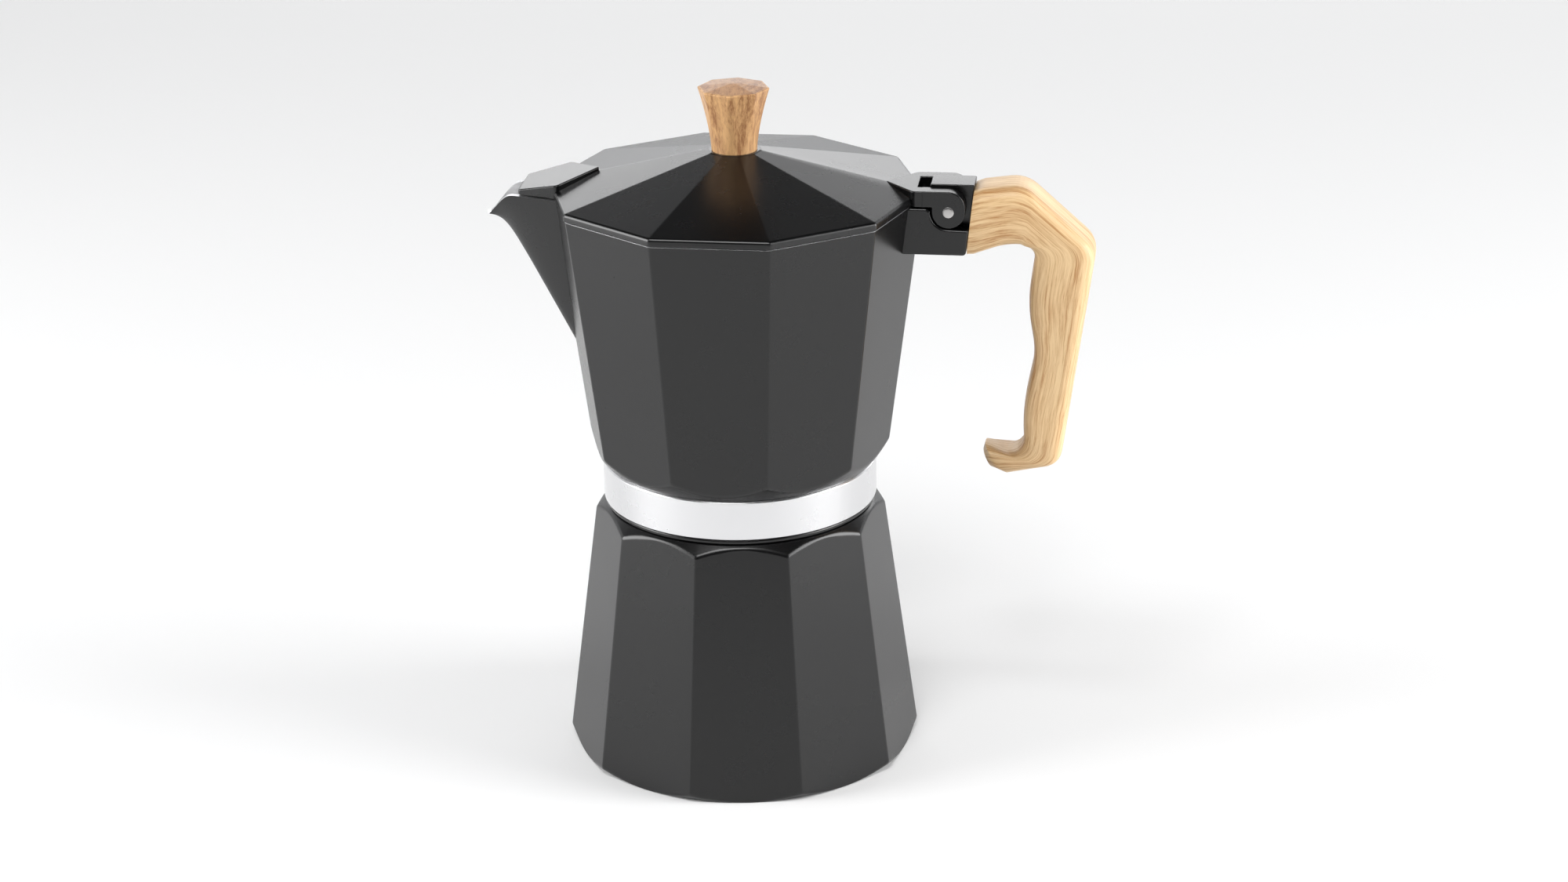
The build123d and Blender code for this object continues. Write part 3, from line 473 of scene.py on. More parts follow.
# ---------------------------------------------------------------- pot
# The coffee pot is cast in one piece with its spout, hinge lug and tongue. It is coated black
# outside and bare inside. Its foot is turned to a cone above the band, and its rim is bare.
POT_FOOT_R = 46.45
POT_CHAMFER_Z = 100.7
POT_NECK_R = 42.1
POT_RIM_R = 56.55
POT_RIM_Z = 178.0
POT_WALL = 2.5
POT_FLOOR_Z = 100.3
POT_RIM_LAND = 0.35                   # the rim's edges are rounded within this of its top
RISER_SPIGOT_R = 7.0
UNDER_MIDDLE_Z = 97.5                 # the pot's underside: dish, its step, and the gasket's seat
UNDER_EDGE_Z = 96.0
UNDER_R = 29.3
GASKET_SEAT_R = 33.2
THREAD_TOP = 92.2
SKIRT_THREAD_R = 36.3 + THREAD_DEPTH
SKIRT_R = 38.9
SKIRT_LOW = 82.7
FOOT_GAP = 0.05                       # the pot's foot stands this far above the band
POT_TAPER = (POT_RIM_R - POT_FOOT_R) / (POT_RIM_Z - POT_CHAMFER_Z)
FACET_SLOPE = 1 / np.tan(HALF_FACET)   # |y| over the distance from a corner, along a facet
SPOUT_REACH = 19.3
SPOUT_LIP_START = 12.0
SPOUT_TIP_DROP = 8.7
SPOUT_BLEND = 1.6
SPOUT_TIP_HALF = 7.1
SPOUT_FLARE = 0.345
SPOUT_FLARE_END = 13.2
SPOUT_WALLS = (2.0, 0.8)              # at 9 mm out and at the tip
SPOUT_WALL_START = 9.0
LIP_BEND = 9
KEEL_ROUND = 1.4
KEEL_TIP_DEPTH = 8.4
KEEL_FALL = 1.93
KEEL_FALL_END = 14.3
TROUGH_SIDE = 2.0                     # metal left beside and under the spout's opening in the wall
TROUGH_FLOOR = 6.0


def pot_r(z, inset=0.0):
    """Corner radius of the pot's outside at a height, less a wall."""
    return POT_RIM_R - POT_TAPER * (POT_RIM_Z - z) - inset / FACET_FLAT


def soft_ramp(x):
    """Zero well below 0 and x well above 0, with a smooth bend between."""
    return SPOUT_BLEND * np.logaddexp(0, x / SPOUT_BLEND)


def keel_depth(out):
    """Depth of the spout's keel under the rim, a straight fall that levels out near the tip."""
    return KEEL_TIP_DEPTH + KEEL_FALL * soft_ramp(KEEL_FALL_END - out)


def spout_half(out):
    """Half width of the spout at the height of the rim."""
    return SPOUT_TIP_HALF + SPOUT_FLARE * soft_ramp(SPOUT_FLARE_END - out)


def spout_wall(out):
    """Wall of the spout, thinner towards the lip."""
    return np.interp(out, (SPOUT_WALL_START, SPOUT_REACH), SPOUT_WALLS)


def spout_top(out):
    """Height of the spout's edge: level with the rim, then falling to the tip."""
    fall = (out - SPOUT_LIP_START) / (SPOUT_REACH - SPOUT_LIP_START)
    return POT_RIM_Z - SPOUT_TIP_DROP * np.logaddexp(0, LIP_BEND * fall) / LIP_BEND


pot_columns = Columns(SIDES, 0.0, FACET_ROUND, flat_steps=24)
rim_xy = pot_columns.facet(POT_RIM_R, 0.0)[:, :2]
near_spout = rim_xy[:, 0] < -POT_RIM_R * np.cos(2 * HALF_FACET) + 1
trough_half = spout_half(0.0) - TROUGH_SIDE
trough_depth = keel_depth(0.0) - TROUGH_FLOOR
trough_share = np.clip(1 - np.abs(rim_xy[:, 1]) / trough_half, 0, 1)
rim_z = POT_RIM_Z - np.where(near_spout, trough_share * trough_depth, 0)
wall_low, wall_high = (pot_r(BAND_TOP), BAND_TOP), (POT_RIM_R, POT_RIM_Z)
pot_under = bent([
    pot_columns.round(RISER_SPIGOT_R, UNDER_MIDDLE_Z), pot_columns.round(UNDER_R, UNDER_EDGE_Z),
    pot_columns.round(UNDER_R, BAND_TOP), pot_columns.round(GASKET_SEAT_R, BAND_TOP),
    pot_columns.round(GASKET_SEAT_R, THREAD_TOP), pot_columns.round(SKIRT_THREAD_R, THREAD_TOP)],
    (0, 0.3, 0.2, 0.3, 0.3, 0))
pot_thread = threaded(pot_columns, SKIRT_THREAD_R, THREAD_DEPTH, THREAD_TOP - 0.2, SKIRT_LOW)
pot_outside = bent([
    pot_columns.round(SKIRT_R, SKIRT_LOW), pot_columns.round(SKIRT_R, BAND_TOP + FOOT_GAP),
    pot_columns.round(POT_NECK_R, BAND_TOP + FOOT_GAP),
    pot_columns.crease(wall_low, wall_high, (POT_NECK_R, BAND_TOP), (POT_FOOT_R, POT_CHAMFER_Z)),
    pot_columns.facet(pot_r(rim_z), rim_z),
], (0.3, 0.2, 0.3, 1.0, 0))
pot_rim = bent([
    pot_columns.facet(pot_r(rim_z - POT_RIM_LAND), rim_z - POT_RIM_LAND),
    pot_columns.facet(pot_r(rim_z), rim_z),
    pot_columns.facet(pot_r(rim_z, POT_WALL), rim_z),
    pot_columns.facet(pot_r(rim_z - POT_RIM_LAND, POT_WALL), rim_z - POT_RIM_LAND),
], (0, 0.3, 0.3, 0))
pot_inside = bent([
    pot_columns.facet(pot_r(rim_z - 1, POT_WALL), rim_z - 1),
    pot_columns.facet(pot_r(POT_FLOOR_Z, POT_WALL), POT_FLOOR_Z),
    pot_columns.round(RISER_SPIGOT_R, POT_FLOOR_Z)], (0, 3.0, 0))
pot_shape = Shape()
pot_rows = np.concatenate([pot_under, pot_thread, pot_outside[:-1], pot_rim, pot_inside])
bare_rows = len(pot_under) + len(pot_thread)
coat_rows = len(pot_outside) + 2
inside_rows = len(pot_rows) - bare_rows - coat_rows
pot_shape.add(pot_rows, wrap_rows=True, finish=[1] * bare_rows + [0] * coat_rows + [1] * inside_rows)


def spout_section(out, across, inside):
    """Points of the V section at stations out and at fractions across from -1 to 1.

    Height rises from the keel to the edge with |across|, less a rounding at the keel, and y
    keeps the V's straight flank: half width times height over depth.
    """
    depth, half, wall = keel_depth(out), spout_half(out), spout_wall(out)
    lean = np.arctan(half / depth)
    keel = POT_RIM_Z - depth + (wall / np.sin(lean) if inside else 0)
    width = half - (wall / np.cos(lean) if inside else 0)
    top = spout_top(out)
    side = width * np.clip((top - keel) / (POT_RIM_Z - keel), 0.02, 1)
    y = across * side
    lift = np.sqrt(y ** 2 + KEEL_ROUND ** 2) - KEEL_ROUND
    lift_full = np.sqrt(side ** 2 + KEEL_ROUND ** 2) - KEEL_ROUND
    z = keel + (np.maximum(top, keel + 0.1) - keel) * lift / lift_full
    return np.stack([-(POT_RIM_R + out), y, z], axis=-1)


def spout_surface(inside, along=28, across_steps=24):
    """Grid of one face of the spout, from the middle of the pot's wall out to the tip.

    The root is where a section's point meets the wall: its x is the wall's corner radius at that
    height less |y| over the facet's slope. A few rounds of putting one into the other find it.
    """
    across = np.linspace(-1, 1, across_steps + 1)[None, :]
    root = np.full_like(across, 0.0)
    for _ in range(8):
        at = spout_section(root, across, inside)
        root = pot_r(at[..., 2], POT_WALL / 2) - np.abs(at[..., 1]) / FACET_SLOPE - POT_RIM_R
    share = np.linspace(0, 1, along)[:, None]
    out = root + (SPOUT_REACH - root) * share
    return spout_section(out, across, inside)


spout_outside, spout_inside = spout_surface(False), spout_surface(True)
spout_rows = np.concatenate([spout_outside, spout_inside[:, ::-1]], axis=1)
pot_shape.add(spout_rows.transpose(1, 0, 2), wrap_rows=True, wrap_columns=False, side_caps=True,
              finish=[0] * (spout_outside.shape[1] - 1) + [1] * (spout_inside.shape[1] + 1))


def outline(points, cuts, inset=0.0, arc=5):
    """Closed flat outline with rounded corners, moved inwards by an inset.

    Each corner slides along its mitre, by inset * (n1 + n2) / (1 + n1 . n2) for the normals of its
    two edges, and its cut shrinks by inset * tan(half the turn), or grows in an inward corner.
    """
    points = np.array(points, float)
    cuts = np.array(cuts, float)
    edge = np.roll(points, -1, axis=0) - points
    edge /= np.linalg.norm(edge, axis=1)[:, None]
    winding = np.sign(np.cross(points, np.roll(points, -1, axis=0)).sum())
    normal = winding * np.stack([-edge[:, 1], edge[:, 0]], axis=1)
    before, edge_before = np.roll(normal, 1, axis=0), np.roll(edge, 1, axis=0)
    agree = (normal * before).sum(axis=1)
    half_turn = np.sqrt((1 - agree) / (1 + agree)) * np.sign(winding * np.cross(edge_before, edge))
    points = points + inset * (normal + before) / (1 + agree)[:, None]
    cuts = np.maximum(cuts - inset * half_turn, 0.02)
    rows = bent([np.array([[*p, 0.0]]) for p in points], cuts, arc=arc, closed=True)
    return rows[:, 0, :2]


def prism(points, cuts, low, high, edge, place, steps=4, arc=5):
    """Rings of a straight bar with rounded ends.

    The outline shrinks by edge * (1 - sin a) while it moves by edge * (1 - cos a) from the end.
    place turns (outline, height) into XYZ.
    """
    angle = np.linspace(0, np.pi / 2, steps + 1)
    levels = [(a, low + edge * (1 - np.cos(a))) for a in angle]
    levels += [(a, high - edge * (1 - np.cos(a))) for a in angle[::-1]]
    return np.stack([place(outline(points, cuts, edge * (1 - np.sin(a)), arc), level)
                     for a, level in levels])


def across_pot(points, y):
    """Puts an (x, z) outline at a distance y from the pot's plane of symmetry."""
    return np.column_stack([points[:, 0], np.broadcast_to(y, len(points)), points[:, 1]])


def over_pot(points, z):
    """Puts an (x, y) outline at a height."""
    return np.column_stack([points[:, 0], points[:, 1], np.broadcast_to(z, len(points))])


PIVOT_X, PIVOT_Z = 65.0, 176.9
HINGE_HALF = 10.2
TONGUE_HALF = 4.95
LUG_FOOT = (70.2, 163.5)
LUG_LEAN = 0.108
EAR_R = 5.0
EAR_GAP = 0.35
BLOCK_BACK_X = 50.0                   # inside the pot's wall
BLOCK_STEP_X = 58.5
BLOCK_TOP_Z = POT_RIM_Z - 0.1
TONGUE_BACK_X = 56.0
TONGUE_STEP_X = 59.2
TONGUE_LOW_Z, TONGUE_TOP_Z = 168.0, 184.0
TENON_LOW_Z, TENON_TOP_Z = 170.5, 179.0
TENON_X = (66.0, 82.95)
TENON_HALF = 4.5
lug_ledge = PIVOT_Z - EAR_R - 0.5


def lug_end(z):
    """Place of the lug's leaning end face at a height."""
    return LUG_FOOT[0] + LUG_LEAN * (z - LUG_FOOT[1])


# the full-width block under the ears, with the hollow that the ears turn in
room = np.linspace(np.radians(265), np.radians(178), 10)
room_xz = np.stack([PIVOT_X + (EAR_R + EAR_GAP) * np.cos(room),
                    PIVOT_Z + (EAR_R + EAR_GAP) * np.sin(room)], axis=1)
block = [(BLOCK_BACK_X, LUG_FOOT[1]), LUG_FOOT, (lug_end(lug_ledge), lug_ledge),
         *map(tuple, room_xz), (BLOCK_STEP_X, BLOCK_TOP_Z), (BLOCK_BACK_X, BLOCK_TOP_Z)]
block_cuts = [0.2, 0.9, 0.4] + [0.2] * len(room_xz) + [0.2, 0.2]
pot_shape.add(prism(block, block_cuts, -HINGE_HALF, HINGE_HALF, 0.7, across_pot, arc=3),
              caps=(True, True), finish=0)
# the tongue between the ears, and the flat end that the wood stands against
tongue = [(TONGUE_BACK_X, TONGUE_LOW_Z), (lug_end(TONGUE_LOW_Z), TONGUE_LOW_Z),
          (lug_end(TONGUE_TOP_Z), TONGUE_TOP_Z), (TONGUE_STEP_X, TONGUE_TOP_Z),
          (TONGUE_STEP_X, POT_RIM_Z + 0.2), (TONGUE_BACK_X, POT_RIM_Z)]
pot_shape.add(prism(tongue, (0.1, 0.1, 0.5, 0.6, 0.2, 0.1), -TONGUE_HALF, TONGUE_HALF, 0.35,
                    across_pot), caps=(True, True), finish=0)
# the tenon that carries the handle
tenon = [(TENON_X[0], TENON_LOW_Z), (TENON_X[1], TENON_LOW_Z), (TENON_X[1], TENON_TOP_Z),
         (TENON_X[0], TENON_TOP_Z)]
pot_shape.add(prism(tenon, (0.2, 0.8, 0.8, 0.2), -TENON_HALF, TENON_HALF, 0.4, across_pot),
              caps=(True, True), finish=0)
pot_shape.make("pot_body", "upper", [black_coat, bare_cast], ["pot"])

# ---------------------------------------------------------------- lid
# The lid is cast with a raised cover over the spout and a bracket whose two ears take the hinge
# pin. It is coated black outside and bare underneath.
LID_R = 57.0
LID_Z = 178.3
LID_EDGE_Z = 180.6
LID_SLOPE = 0.228
KNOB_SEAT_R = 8.3
KNOB_SEAT_Z = 191.9
LID_WALL = 3.6
LID_SHEET = 2.1
LID_BOSS_Z = 188.6
LID_BOSS_R = 12.7
EAR_TOP_Z = 183.2
CROTCH_X = 55.5
CROTCH_HALF = 5.25


def ridge_z(r):
    """Height of the lid's ridges at a distance from its middle."""
    return LID_EDGE_Z + (LID_R - r) * LID_SLOPE


lid_columns = Columns(SIDES, 0.0, 1.3)
lid_cavity_r = LID_R - LID_WALL
lid_rows = bent([
    lid_columns.facet(4.0, LID_BOSS_Z, 0.3),
    lid_columns.facet(LID_BOSS_R, LID_BOSS_Z, 0.8),
    lid_columns.facet(lid_cavity_r, ridge_z(lid_cavity_r) - LID_SHEET),
    lid_columns.facet(lid_cavity_r, LID_Z),
    lid_columns.facet(LID_R, LID_Z),
    lid_columns.facet(LID_R, LID_EDGE_Z),
    lid_columns.facet(KNOB_SEAT_R, ridge_z(KNOB_SEAT_R), 0.9),
    lid_columns.facet(KNOB_SEAT_R - 0.4, KNOB_SEAT_Z, 0.9),
    lid_columns.facet(3.0, KNOB_SEAT_Z, 0.3),
], (0, 1.0, 0.6, 0.3, 0.35, 0.9, 0.5, 0.2, 0))
over_tongue = np.abs(lid_rows[..., 1]) < CROTCH_HALF
lid_rows[..., 0] = np.where(over_tongue, np.minimum(lid_rows[..., 0], CROTCH_X), lid_rows[..., 0])
lid_shape = Shape()
under_rows = 1 + 3 * 6                # the first ring, and three bends of six rows each
lid_shape.add(lid_rows, poles=(True, True),
              finish=[1] * under_rows + [0] * (len(lid_rows) - under_rows))

# the cover over the spout
BEAK_OUTLINE = ((-41.0, 0.0), (-52.0, 12.6), (-64.8, 8.2), (-64.8, -8.2), (-52.0, -12.6))
BEAK_CUTS = (1.0, 1.2, 0.8, 0.8, 1.2)
BEAK_PROUD = 1.1
BEAK_EDGE = 0.45


def beak_ring(shrink, share, drop):
    """Ring of the cover between the lid's underside (share 0) and its sloping top (share 1)."""
    points = outline(BEAK_OUTLINE, BEAK_CUTS, shrink)
    top = ridge_z(-points[:, 0]) + BEAK_PROUD
    return np.column_stack([points, LID_Z + (top - LID_Z) * share - drop])


beak_rows = [beak_ring(0.3, 0.0, 0.0), beak_ring(0.0, 0.1, 0.0)]
beak_rows += [beak_ring(BEAK_EDGE * (1 - np.sin(a)), 1.0, BEAK_EDGE * (1 - np.cos(a)))
              for a in np.linspace(np.pi / 2, 0, 5)]
lid_shape.add(np.stack(beak_rows), caps=(True, True), finish=0)

# the bracket and its ears
BRACKET_ROOT_X, BRACKET_SHOULDER_X, BRACKET_END_X = 45.3, 54.3, 59.0
BRACKET_STEP = 0.04                   # the ears stand this far proud of the bracket between them
EAR_BACK_X = 57.0
EAR_FOOT_Z = LID_Z + 0.02
bracket_half = HINGE_HALF - BRACKET_STEP
slot_half = CROTCH_HALF + BRACKET_STEP
half_bracket = [(BRACKET_SHOULDER_X, bracket_half), (BRACKET_END_X, bracket_half),
                (BRACKET_END_X, slot_half), (CROTCH_X, slot_half)]
bracket = [(BRACKET_ROOT_X, 0.0), *half_bracket, *[(x, -y) for x, y in half_bracket[::-1]]]
lid_shape.add(prism(bracket, (0.8, 1.2, 0.1, 0.1, 0.4, 0.4, 0.1, 0.1, 1.2), LID_Z,
                    EAR_TOP_Z - BRACKET_STEP, 0.4, over_pot), caps=(True, True), finish=0)
# an ear is a quarter circle on top and a half circle under the pin, with straight sides between
top_arc, low_arc = np.radians(np.linspace(90, 0, 8)), np.radians(np.linspace(0, -180, 16))
ear = [(EAR_BACK_X, EAR_TOP_Z)]
ear += [(PIVOT_X + EAR_R * np.cos(a), EAR_TOP_Z - EAR_R + EAR_R * np.sin(a)) for a in top_arc]
ear += [(PIVOT_X + EAR_R * np.cos(a), PIVOT_Z + EAR_R * np.sin(a)) for a in low_arc]
ear += [(PIVOT_X - EAR_R, EAR_FOOT_Z), (EAR_BACK_X, EAR_FOOT_Z)]
for near, far in ((-HINGE_HALF, -CROTCH_HALF), (CROTCH_HALF, HINGE_HALF)):
    lid_shape.add(prism(ear, [0.1] * len(ear), near, far, 0.35, across_pot, arc=2),
                  caps=(True, True), finish=0)
lid_shape.make("lid_cover", "cover", [black_coat, bare_cast], ["lid"])

# ---------------------------------------------------------------- hinge pin
# A plain steel pin is pressed through the two ears. Its ends are slightly domed and stand just
# proud of them.
PIN_R = 1.85
PIN_PROUD = 0.12
# the dome of an end, as radius and height above the ear
pin_end = ((0.25, PIN_PROUD), (1.0, PIN_PROUD * 0.85), (1.6, PIN_PROUD * 0.4), (PIN_R, -0.15))
pin_outline = [(r, -HINGE_HALF - out) for r, out in pin_end]
pin_outline += [(r, HINGE_HALF + out) for r, out in pin_end[::-1]]
turn = np.linspace(0, 2 * np.pi, 49)[:-1]
pin_rows = np.stack([np.column_stack([PIVOT_X + r * np.cos(turn), np.full(len(turn), y),
                                      PIVOT_Z + r * np.sin(turn)]) for r, y in pin_outline])
pin_shape = Shape()
pin_shape.add(pin_rows, caps=(True, True))
pin_shape.make("steel_hinge_pin", "cover", [steel], ["hinge_pin"])

# ---------------------------------------------------------------- knob
# The knob is moulded with a light wood effect. It has eight sides that flare to a sharp rim, and
# it grows rounder towards its foot. A washer and screw hold it from under the lid.
KNOB_SIDES = 8
KNOB_FOOT_R = 7.4
KNOB_RIM_R = 10.9
KNOB_HEIGHT = 19.0
KNOB_CROWN = 1.3
KNOB_FLARE = 1.6                      # power of the height that the radius grows with
KNOB_RIM_ROUND = 0.7                  # corner rounding at the rim, and how much more at the foot
KNOB_FOOT_ROUND = 5.8
KNOB_ROUND_FADE = 1.2
FIBRE_SHARE, STREAK_SHARE, PATCH_SHARE, TONE_SHIFT = 0.55, 0.75, 0.45, -0.38
TONE_LIGHT, TONE_DARK = 0.36, 0.64


def weighted(tree, value, factor, added):
    """value * factor + added, where added is a socket or a number."""
    node = tree.nodes.new("ShaderNodeMath")
    node.operation = "MULTIPLY_ADD"
    tree.links.new(value, node.inputs[0])
    node.inputs[1].default_value = factor
    if isinstance(added, (int, float)):
        node.inputs[2].default_value = added
    else:
        tree.links.new(added, node.inputs[2])
    return node.outputs[0]


def build_wood(tree, start, end):
    """Wood effect: fine fibres, broader streaks and slow patches, all drawn out along the grain."""
    place = start.outputs["Vector"]
    fibres = noise(tree, place, 1.0, detail=3.0, roughness=0.7)
    tree.links.new(start.outputs["Fibre scale"], fibres.inputs["Scale"])
    streaks = noise(tree, place, 1.0, detail=5.0, roughness=0.6)
    streaks.inputs["Distortion"].default_value = 0.4
    tree.links.new(start.outputs["Streak scale"], streaks.inputs["Scale"])
    patches = noise(tree, place, 1.0, detail=2.0)
    tree.links.new(start.outputs["Patch scale"], patches.inputs["Scale"])
    mixed = weighted(tree, patches.outputs["Fac"], PATCH_SHARE, TONE_SHIFT)
    mixed = weighted(tree, streaks.outputs["Fac"], STREAK_SHARE, mixed)
    mixed = weighted(tree, fibres.outputs["Fac"], FIBRE_SHARE, mixed)
    tree.links.new(remap(tree, mixed, TONE_LIGHT, TONE_DARK, 0.0, 1.0), end.inputs["Tone"])
    tree.links.new(mixed, end.inputs["Height"])


wood_grain = node_group(
    "wood grain",
    [("Vector", "NodeSocketVector", None), ("Fibre scale", "NodeSocketFloat", 1500.0),
     ("Streak scale", "NodeSocketFloat", 400.0), ("Patch scale", "NodeSocketFloat", 80.0)],
    [("Tone", "NodeSocketFloat"), ("Height", "NodeSocketFloat")], build_wood)


def wood_effect(name, light, dark, coords, squeeze, fibre_scale, streak_scale, patch_scale):
    """Printed wood on satin plastic; squeeze stretches the pattern along the grain."""
    material = bpy.data.materials.new(name)
    material.use_nodes = True
    tree = material.node_tree
    shader = tree.nodes["Principled BSDF"]
    place = tree.nodes.new("ShaderNodeTexCoord")
    stretch = tree.nodes.new("ShaderNodeMapping")
    stretch.inputs["Scale"].default_value = squeeze
    tree.links.new(place.outputs[coords], stretch.inputs["Vector"])
    grain = tree.nodes.new("ShaderNodeGroup")
    grain.node_tree = wood_grain
    grain.inputs["Fibre scale"].default_value = fibre_scale
    grain.inputs["Streak scale"].default_value = streak_scale
    grain.inputs["Patch scale"].default_value = patch_scale
    tree.links.new(stretch.outputs["Vector"], grain.inputs["Vector"])
    ramp = tree.nodes.new("ShaderNodeValToRGB")
    ramp.color_ramp.elements[0].color = (*light, 1)
    ramp.color_ramp.elements[1].color = (*dark, 1)
    middle = ramp.color_ramp.elements.new(0.55)
    middle.color = (*[0.6 * a + 0.4 * b for a, b in zip(light, dark)], 1)
    tree.links.new(grain.outputs["Tone"], ramp.inputs["Fac"])
    tree.links.new(ramp.outputs["Color"], shader.inputs["Base Color"])
    fine = tree.nodes.new("ShaderNodeGroup")
    fine.node_tree = speckle
    for title, number in (("Grain scale", 1800.0), ("Patch scale", 50.0), ("Roughness", 0.42),
                          ("Unevenness", 0.12)):
        fine.inputs[title].default_value = number
    tree.links.new(place.outputs["Object"], fine.inputs["Vector"])
    tree.links.new(fine.outputs["Roughness"], shader.inputs["Roughness"])
    relief = tree.nodes.new("ShaderNodeBump")
    relief.inputs["Strength"].default_value = 0.15
    relief.inputs["Distance"].default_value = 0.0001
    tree.links.new(fine.outputs["Height"], relief.inputs["Height"])
    tree.links.new(relief.outputs["Normal"], shader.inputs["Normal"])
    return material


knob_wood = wood_effect("wood effect knob", (0.68, 0.40, 0.18), (0.33, 0.15, 0.06), "Object",
                        squeeze=(1.0, 1.0, 0.16), fibre_scale=2200.0, streak_scale=620.0,
                        patch_scale=160.0)
knob_face_wood = wood_effect("wood effect knob face", (0.50, 0.27, 0.125), (0.26, 0.115, 0.05),
                             "Object", squeeze=(1.0, 0.35, 1.0), fibre_scale=2600.0,
                             streak_scale=700.0, patch_scale=160.0)
knob_columns = Columns(KNOB_SIDES, 0.0, 1.0, flat_steps=8)
rise = np.linspace(0, 1, 22)
knob_side = np.stack([
    knob_columns.facet(KNOB_FOOT_R + (KNOB_RIM_R - KNOB_FOOT_R) * h ** KNOB_FLARE,
                       KNOB_SEAT_Z + KNOB_HEIGHT * h,
                       KNOB_RIM_ROUND + KNOB_FOOT_ROUND * (1 - h) ** KNOB_ROUND_FADE) for h in rise])
knob_top = bent([
    knob_side[-2], knob_side[-1],
    knob_columns.facet(KNOB_RIM_R - 0.5, KNOB_SEAT_Z + KNOB_HEIGHT + 0.15, 0.6),
    knob_columns.facet(1.5, KNOB_SEAT_Z + KNOB_HEIGHT + KNOB_CROWN, 0.3)], (0, 0.3, 0.3, 0))
knob_bottom = knob_columns.facet(2.0, KNOB_SEAT_Z + 0.02, 1.0)[None]
knob_rows = np.concatenate([knob_bottom, knob_side[:-1], knob_top])
knob_shape = Shape()
knob_shape.add(knob_rows, poles=(True, True), finish=[0] * (len(knob_rows) - 2) + [1] * 2)
knob_shape.make("lid_knob", "cover", [knob_wood, knob_face_wood], ["knob"], smooth=28.0)

# ---------------------------------------------------------------- handle
# The handle is one solid moulding with the same wood effect. Its grain runs from the joint round
# the bend and down the grip. A screw from below holds it on the pot's tenon.
HANDLE_HALF = 9.5
HANDLE_REACH = 8.6                    # half the depth of the grip's section, for the grain
HANDLE_SQUARENESS = (4.6, 2.3)        # at the joint and at the toe
SQUARENESS_RUN = (4.0, 40.0)          # the way from the toe over which it changes
TOE_NARROW = 0.66
TOE_RUN = 24.0
END_ROUND = 3.4
END_FALL = 0.985                      # just short of closing on a line
END_NARROW = 0.45
JOINT_ROUND = 0.6
JOINT_REACH = 10.0                    # half the depth of the section at the joint
INNER = ((0.0, -1.5), (12.0, 2.9), (20.7, 2.6), (18.2, -16.0), (20.9, -30.8), (17.1, -50.0),
         (18.0, -66.0), (3.9, -61.9))
INNER_CUTS = (0, 4.0, 7.0, 7.0, 5.0, 8.0, 8.5, 0)
OUTER = ((2.2, 19.4), (16.9, 21.4), (38.65, 1.9), (36.4, -14.0), (34.0, -30.8), (31.3, -50.0),
         (28.8, -67.5), (9.1, -72.9))
OUTER_CUTS = (0, 4.5, 4.2, 3.0, 3.0, 3.0, 3.6, 0)


def edge_line(points, cuts):
    """Dense line along one edge of the handle: corners rounded, straight runs filled in."""
    corners = [np.array([[LUG_FOOT[0] + x, 0.0, LUG_FOOT[1] + z]]) for x, z in points]
    return bent(corners, cuts, arc=6)[:, 0]


def filled(line, runs=4):
    """Adds evenly spaced points on every run between two points."""
    share = np.linspace(0, 1, runs + 1)[:-1]
    steps = line[:-1, None, :] + (line[1:] - line[:-1])[:, None, :] * share[None, :, None]
    return np.concatenate([steps.reshape(-1, 3), line[-1:]])


inner_line = filled(edge_line(INNER, INNER_CUTS))
outer_line = filled(edge_line(OUTER, OUTER_CUTS))
centre_line = (inner_line + outer_line) / 2
reach_line = (outer_line - inner_line) / 2
run = np.concatenate([[0], np.cumsum(np.linalg.norm(np.diff(centre_line, axis=0), axis=1))])
ring_angle = np.linspace(0, 2 * np.pi, 49)[:-1]
to_joint, to_end = run, run[-1] - run
square = np.interp(to_end, SQUARENESS_RUN, HANDLE_SQUARENESS[::-1])[:, None]
bulge_in = np.sign(np.cos(ring_angle)) * np.abs(np.cos(ring_angle)) ** (2 / square)
bulge_y = np.sign(np.sin(ring_angle)) * np.abs(np.sin(ring_angle)) ** (2 / square)
near_end = np.clip(1 - to_end / END_ROUND, 0, 1)
near_joint = np.clip(1 - to_joint / JOINT_ROUND, 0, 1)
end_fall = 1 - np.sqrt(1 - END_FALL * near_end ** 2)
shrink = 1 - end_fall * END_ROUND / np.linalg.norm(reach_line, axis=1)
shrink -= (1 - np.sqrt(1 - near_joint ** 2)) * JOINT_ROUND / JOINT_REACH
width = HANDLE_HALF * (1 - END_NARROW * end_fall)
width = width * np.interp(to_end, (0.0, TOE_RUN), (TOE_NARROW, 1.0))
# a section is a rounded square: cosine and sine of the way round, raised to 2 / squareness
handle_rows = (centre_line[:, None, :]
               + (reach_line * shrink[:, None])[:, None, :] * bulge_in[..., None]
               + np.array([0, 1, 0]) * (width[:, None] * bulge_y)[..., None])
# the grain's width coordinate is the way round the section from the back's middle, the same on both
# sides, so that it meets itself at the back and at the palm
across, along_y = bulge_in * HANDLE_REACH, bulge_y * HANDLE_HALF
chords = np.hypot(np.roll(across, -1, axis=1) - across,
                  np.roll(along_y, -1, axis=1) - along_y)
way_round = np.cumsum(chords, axis=1) - chords
way_round = np.minimum(way_round, chords.sum(axis=1)[:, None] - way_round)
handle_uv = np.stack([np.broadcast_to(run[:, None], bulge_in.shape), way_round], axis=-1) * 0.001
handle_wood = wood_effect("wood effect handle", (0.80, 0.575, 0.315), (0.47, 0.235, 0.085), "UV",
                          squeeze=(0.045, 1.0, 1.0), fibre_scale=3300.0, streak_scale=1050.0,
                          patch_scale=230.0)
handle_shape = Shape()
handle_shape.add(handle_rows, caps=(True, True), uv=handle_uv)
handle_shape.make("grip_handle", "upper", [handle_wood], ["handle"], smooth=50.0)

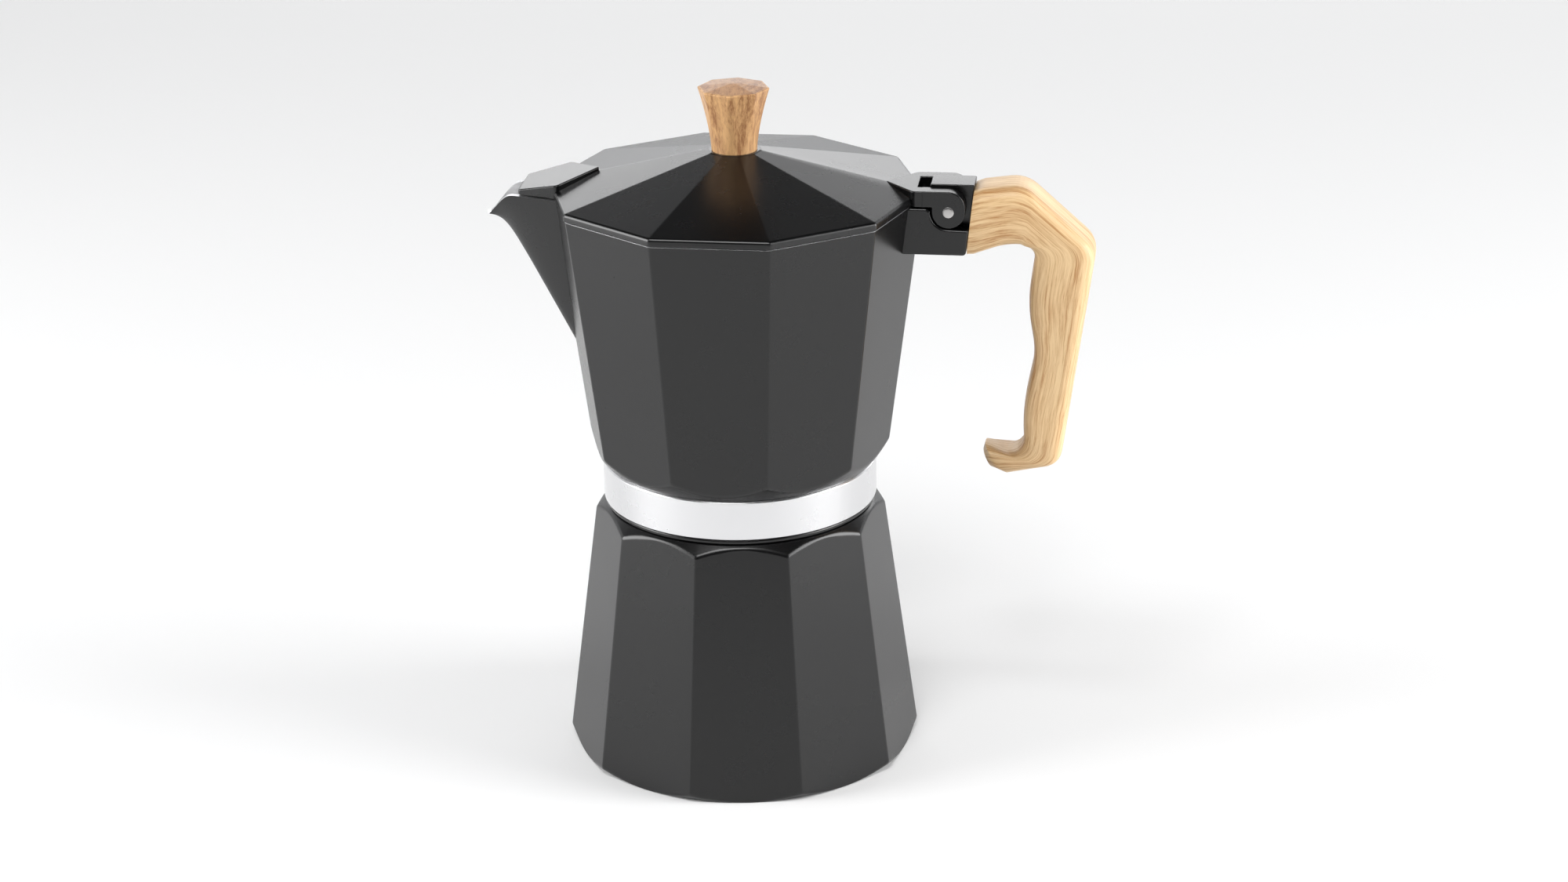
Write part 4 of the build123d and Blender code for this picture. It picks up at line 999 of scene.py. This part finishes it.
# ---------------------------------------------------------------- table, light and camera
# A pale seamless table under four soft boxes and a pale sky that is dark overhead and in front,
# and the camera before the pot, looking down on it by 21 degrees.
SPAN = 4.0


def area_light(name, place, target, size, power):
    """Soft box that faces a point."""
    lamp = bpy.data.lights.new(name, "AREA")
    lamp.shape = "RECTANGLE"
    lamp.size, lamp.size_y = size
    lamp.energy = power
    box = bpy.data.objects.new(name, lamp)
    box.location = place
    box.rotation_euler = (Vector(target) - Vector(place)).to_track_quat("-Z", "Y").to_euler()
    bpy.context.scene.collection.objects.link(box)


table_mesh = bpy.data.meshes.new("table")
table_corners = [(-SPAN, -SPAN, 0), (SPAN, -SPAN, 0), (SPAN, SPAN, 0), (-SPAN, SPAN, 0)]
table_mesh.from_pydata(table_corners, [], [(0, 1, 2, 3)])
table = bpy.data.objects.new("table", table_mesh)
bpy.context.scene.collection.objects.link(table)
table_mesh.materials.append(surface("pale table", (0.93, 0.93, 0.93), (0.94, 0.94, 0.94),
                                    metallic=0.0, roughness=0.75, unevenness=0.05,
                                    grain_scale=300.0, patch_scale=8.0, bump=0.05))

area_light("left soft box", (-1.25, -0.35, 0.5), (0, 0.0, 0.1), (0.8, 0.9), 17)
area_light("right soft box", (1.3, -0.1, 0.5), (0, 0.0, 0.1), (0.8, 0.9), 19)
area_light("front soft box", (-0.1, -1.0, 1.5), (0, 0.1, 0.1), (0.8, 0.7), 15)
area_light("back table box", (0, 1.75, 0.66), (0, 1.0, 0), (2.4, 0.4), 9)
bpy.context.scene.view_settings.view_transform = "Standard"

world = bpy.data.worlds.new("studio")
bpy.context.scene.world = world
world.use_nodes = True
sky = world.node_tree
direction = sky.nodes.new("ShaderNodeTexCoord")
axes = sky.nodes.new("ShaderNodeSeparateXYZ")
sky.links.new(direction.outputs["Generated"], axes.inputs["Vector"])
DARK = 0.02
DARK_UP_FROM, DARK_UP_TO = 0.36, 0.58         # Z of the direction
DARK_FRONT_TO, DARK_FRONT_FROM = -0.85, -0.3  # Y of the direction
SEEN_STRENGTH = 0.85
dark_up = remap(sky, axes.outputs["Z"], DARK_UP_FROM, DARK_UP_TO, 1.0, DARK)
dark_front = remap(sky, axes.outputs["Y"], DARK_FRONT_TO, DARK_FRONT_FROM, DARK, 1.0)
product = sky.nodes.new("ShaderNodeMath")
product.operation = "MULTIPLY"
sky.links.new(dark_up, product.inputs[0])
sky.links.new(dark_front, product.inputs[1])
# what the camera itself sees past the table is as pale as the table
rays = sky.nodes.new("ShaderNodeLightPath")
seen = sky.nodes.new("ShaderNodeMath")
seen.operation = "MAXIMUM"
sky.links.new(product.outputs[0], seen.inputs[0])
sky.links.new(weighted(sky, rays.outputs["Is Camera Ray"], SEEN_STRENGTH, 0.0), seen.inputs[1])
sky.links.new(seen.outputs[0], sky.nodes["Background"].inputs["Strength"])
sky.nodes["Background"].inputs["Color"].default_value = (0.97, 0.98, 1.0, 1)

camera_data = bpy.data.cameras.new("camera")
camera_data.lens = 81.651
camera_data.sensor_width = 36.0
camera_data.clip_start = 0.05
camera_data.clip_end = 50.0
camera = bpy.data.objects.new("camera", camera_data)
bpy.context.scene.collection.objects.link(camera)
AZIMUTH, ELEVATION, ROLL = np.radians((7.592, 21.382, -0.767))
DISTANCE = 1.097667
AIM_HEIGHT, AIM_RIGHT = 0.097854, 0.013664
back = np.array([np.sin(AZIMUTH) * np.cos(ELEVATION), -np.cos(AZIMUTH) * np.cos(ELEVATION),
                 np.sin(ELEVATION)])
right = np.array([np.cos(AZIMUTH), np.sin(AZIMUTH), 0.0])
up = np.cross(back, right)
place = np.array([0, 0, AIM_HEIGHT]) + AIM_RIGHT * right + DISTANCE * back
level = right * np.cos(ROLL) + up * np.sin(ROLL)
tilt = up * np.cos(ROLL) - right * np.sin(ROLL)
camera.matrix_world = Matrix([[level[i], tilt[i], back[i], place[i]] for i in range(3)]
                             + [[0, 0, 0, 1]])
bpy.context.scene.camera = camera
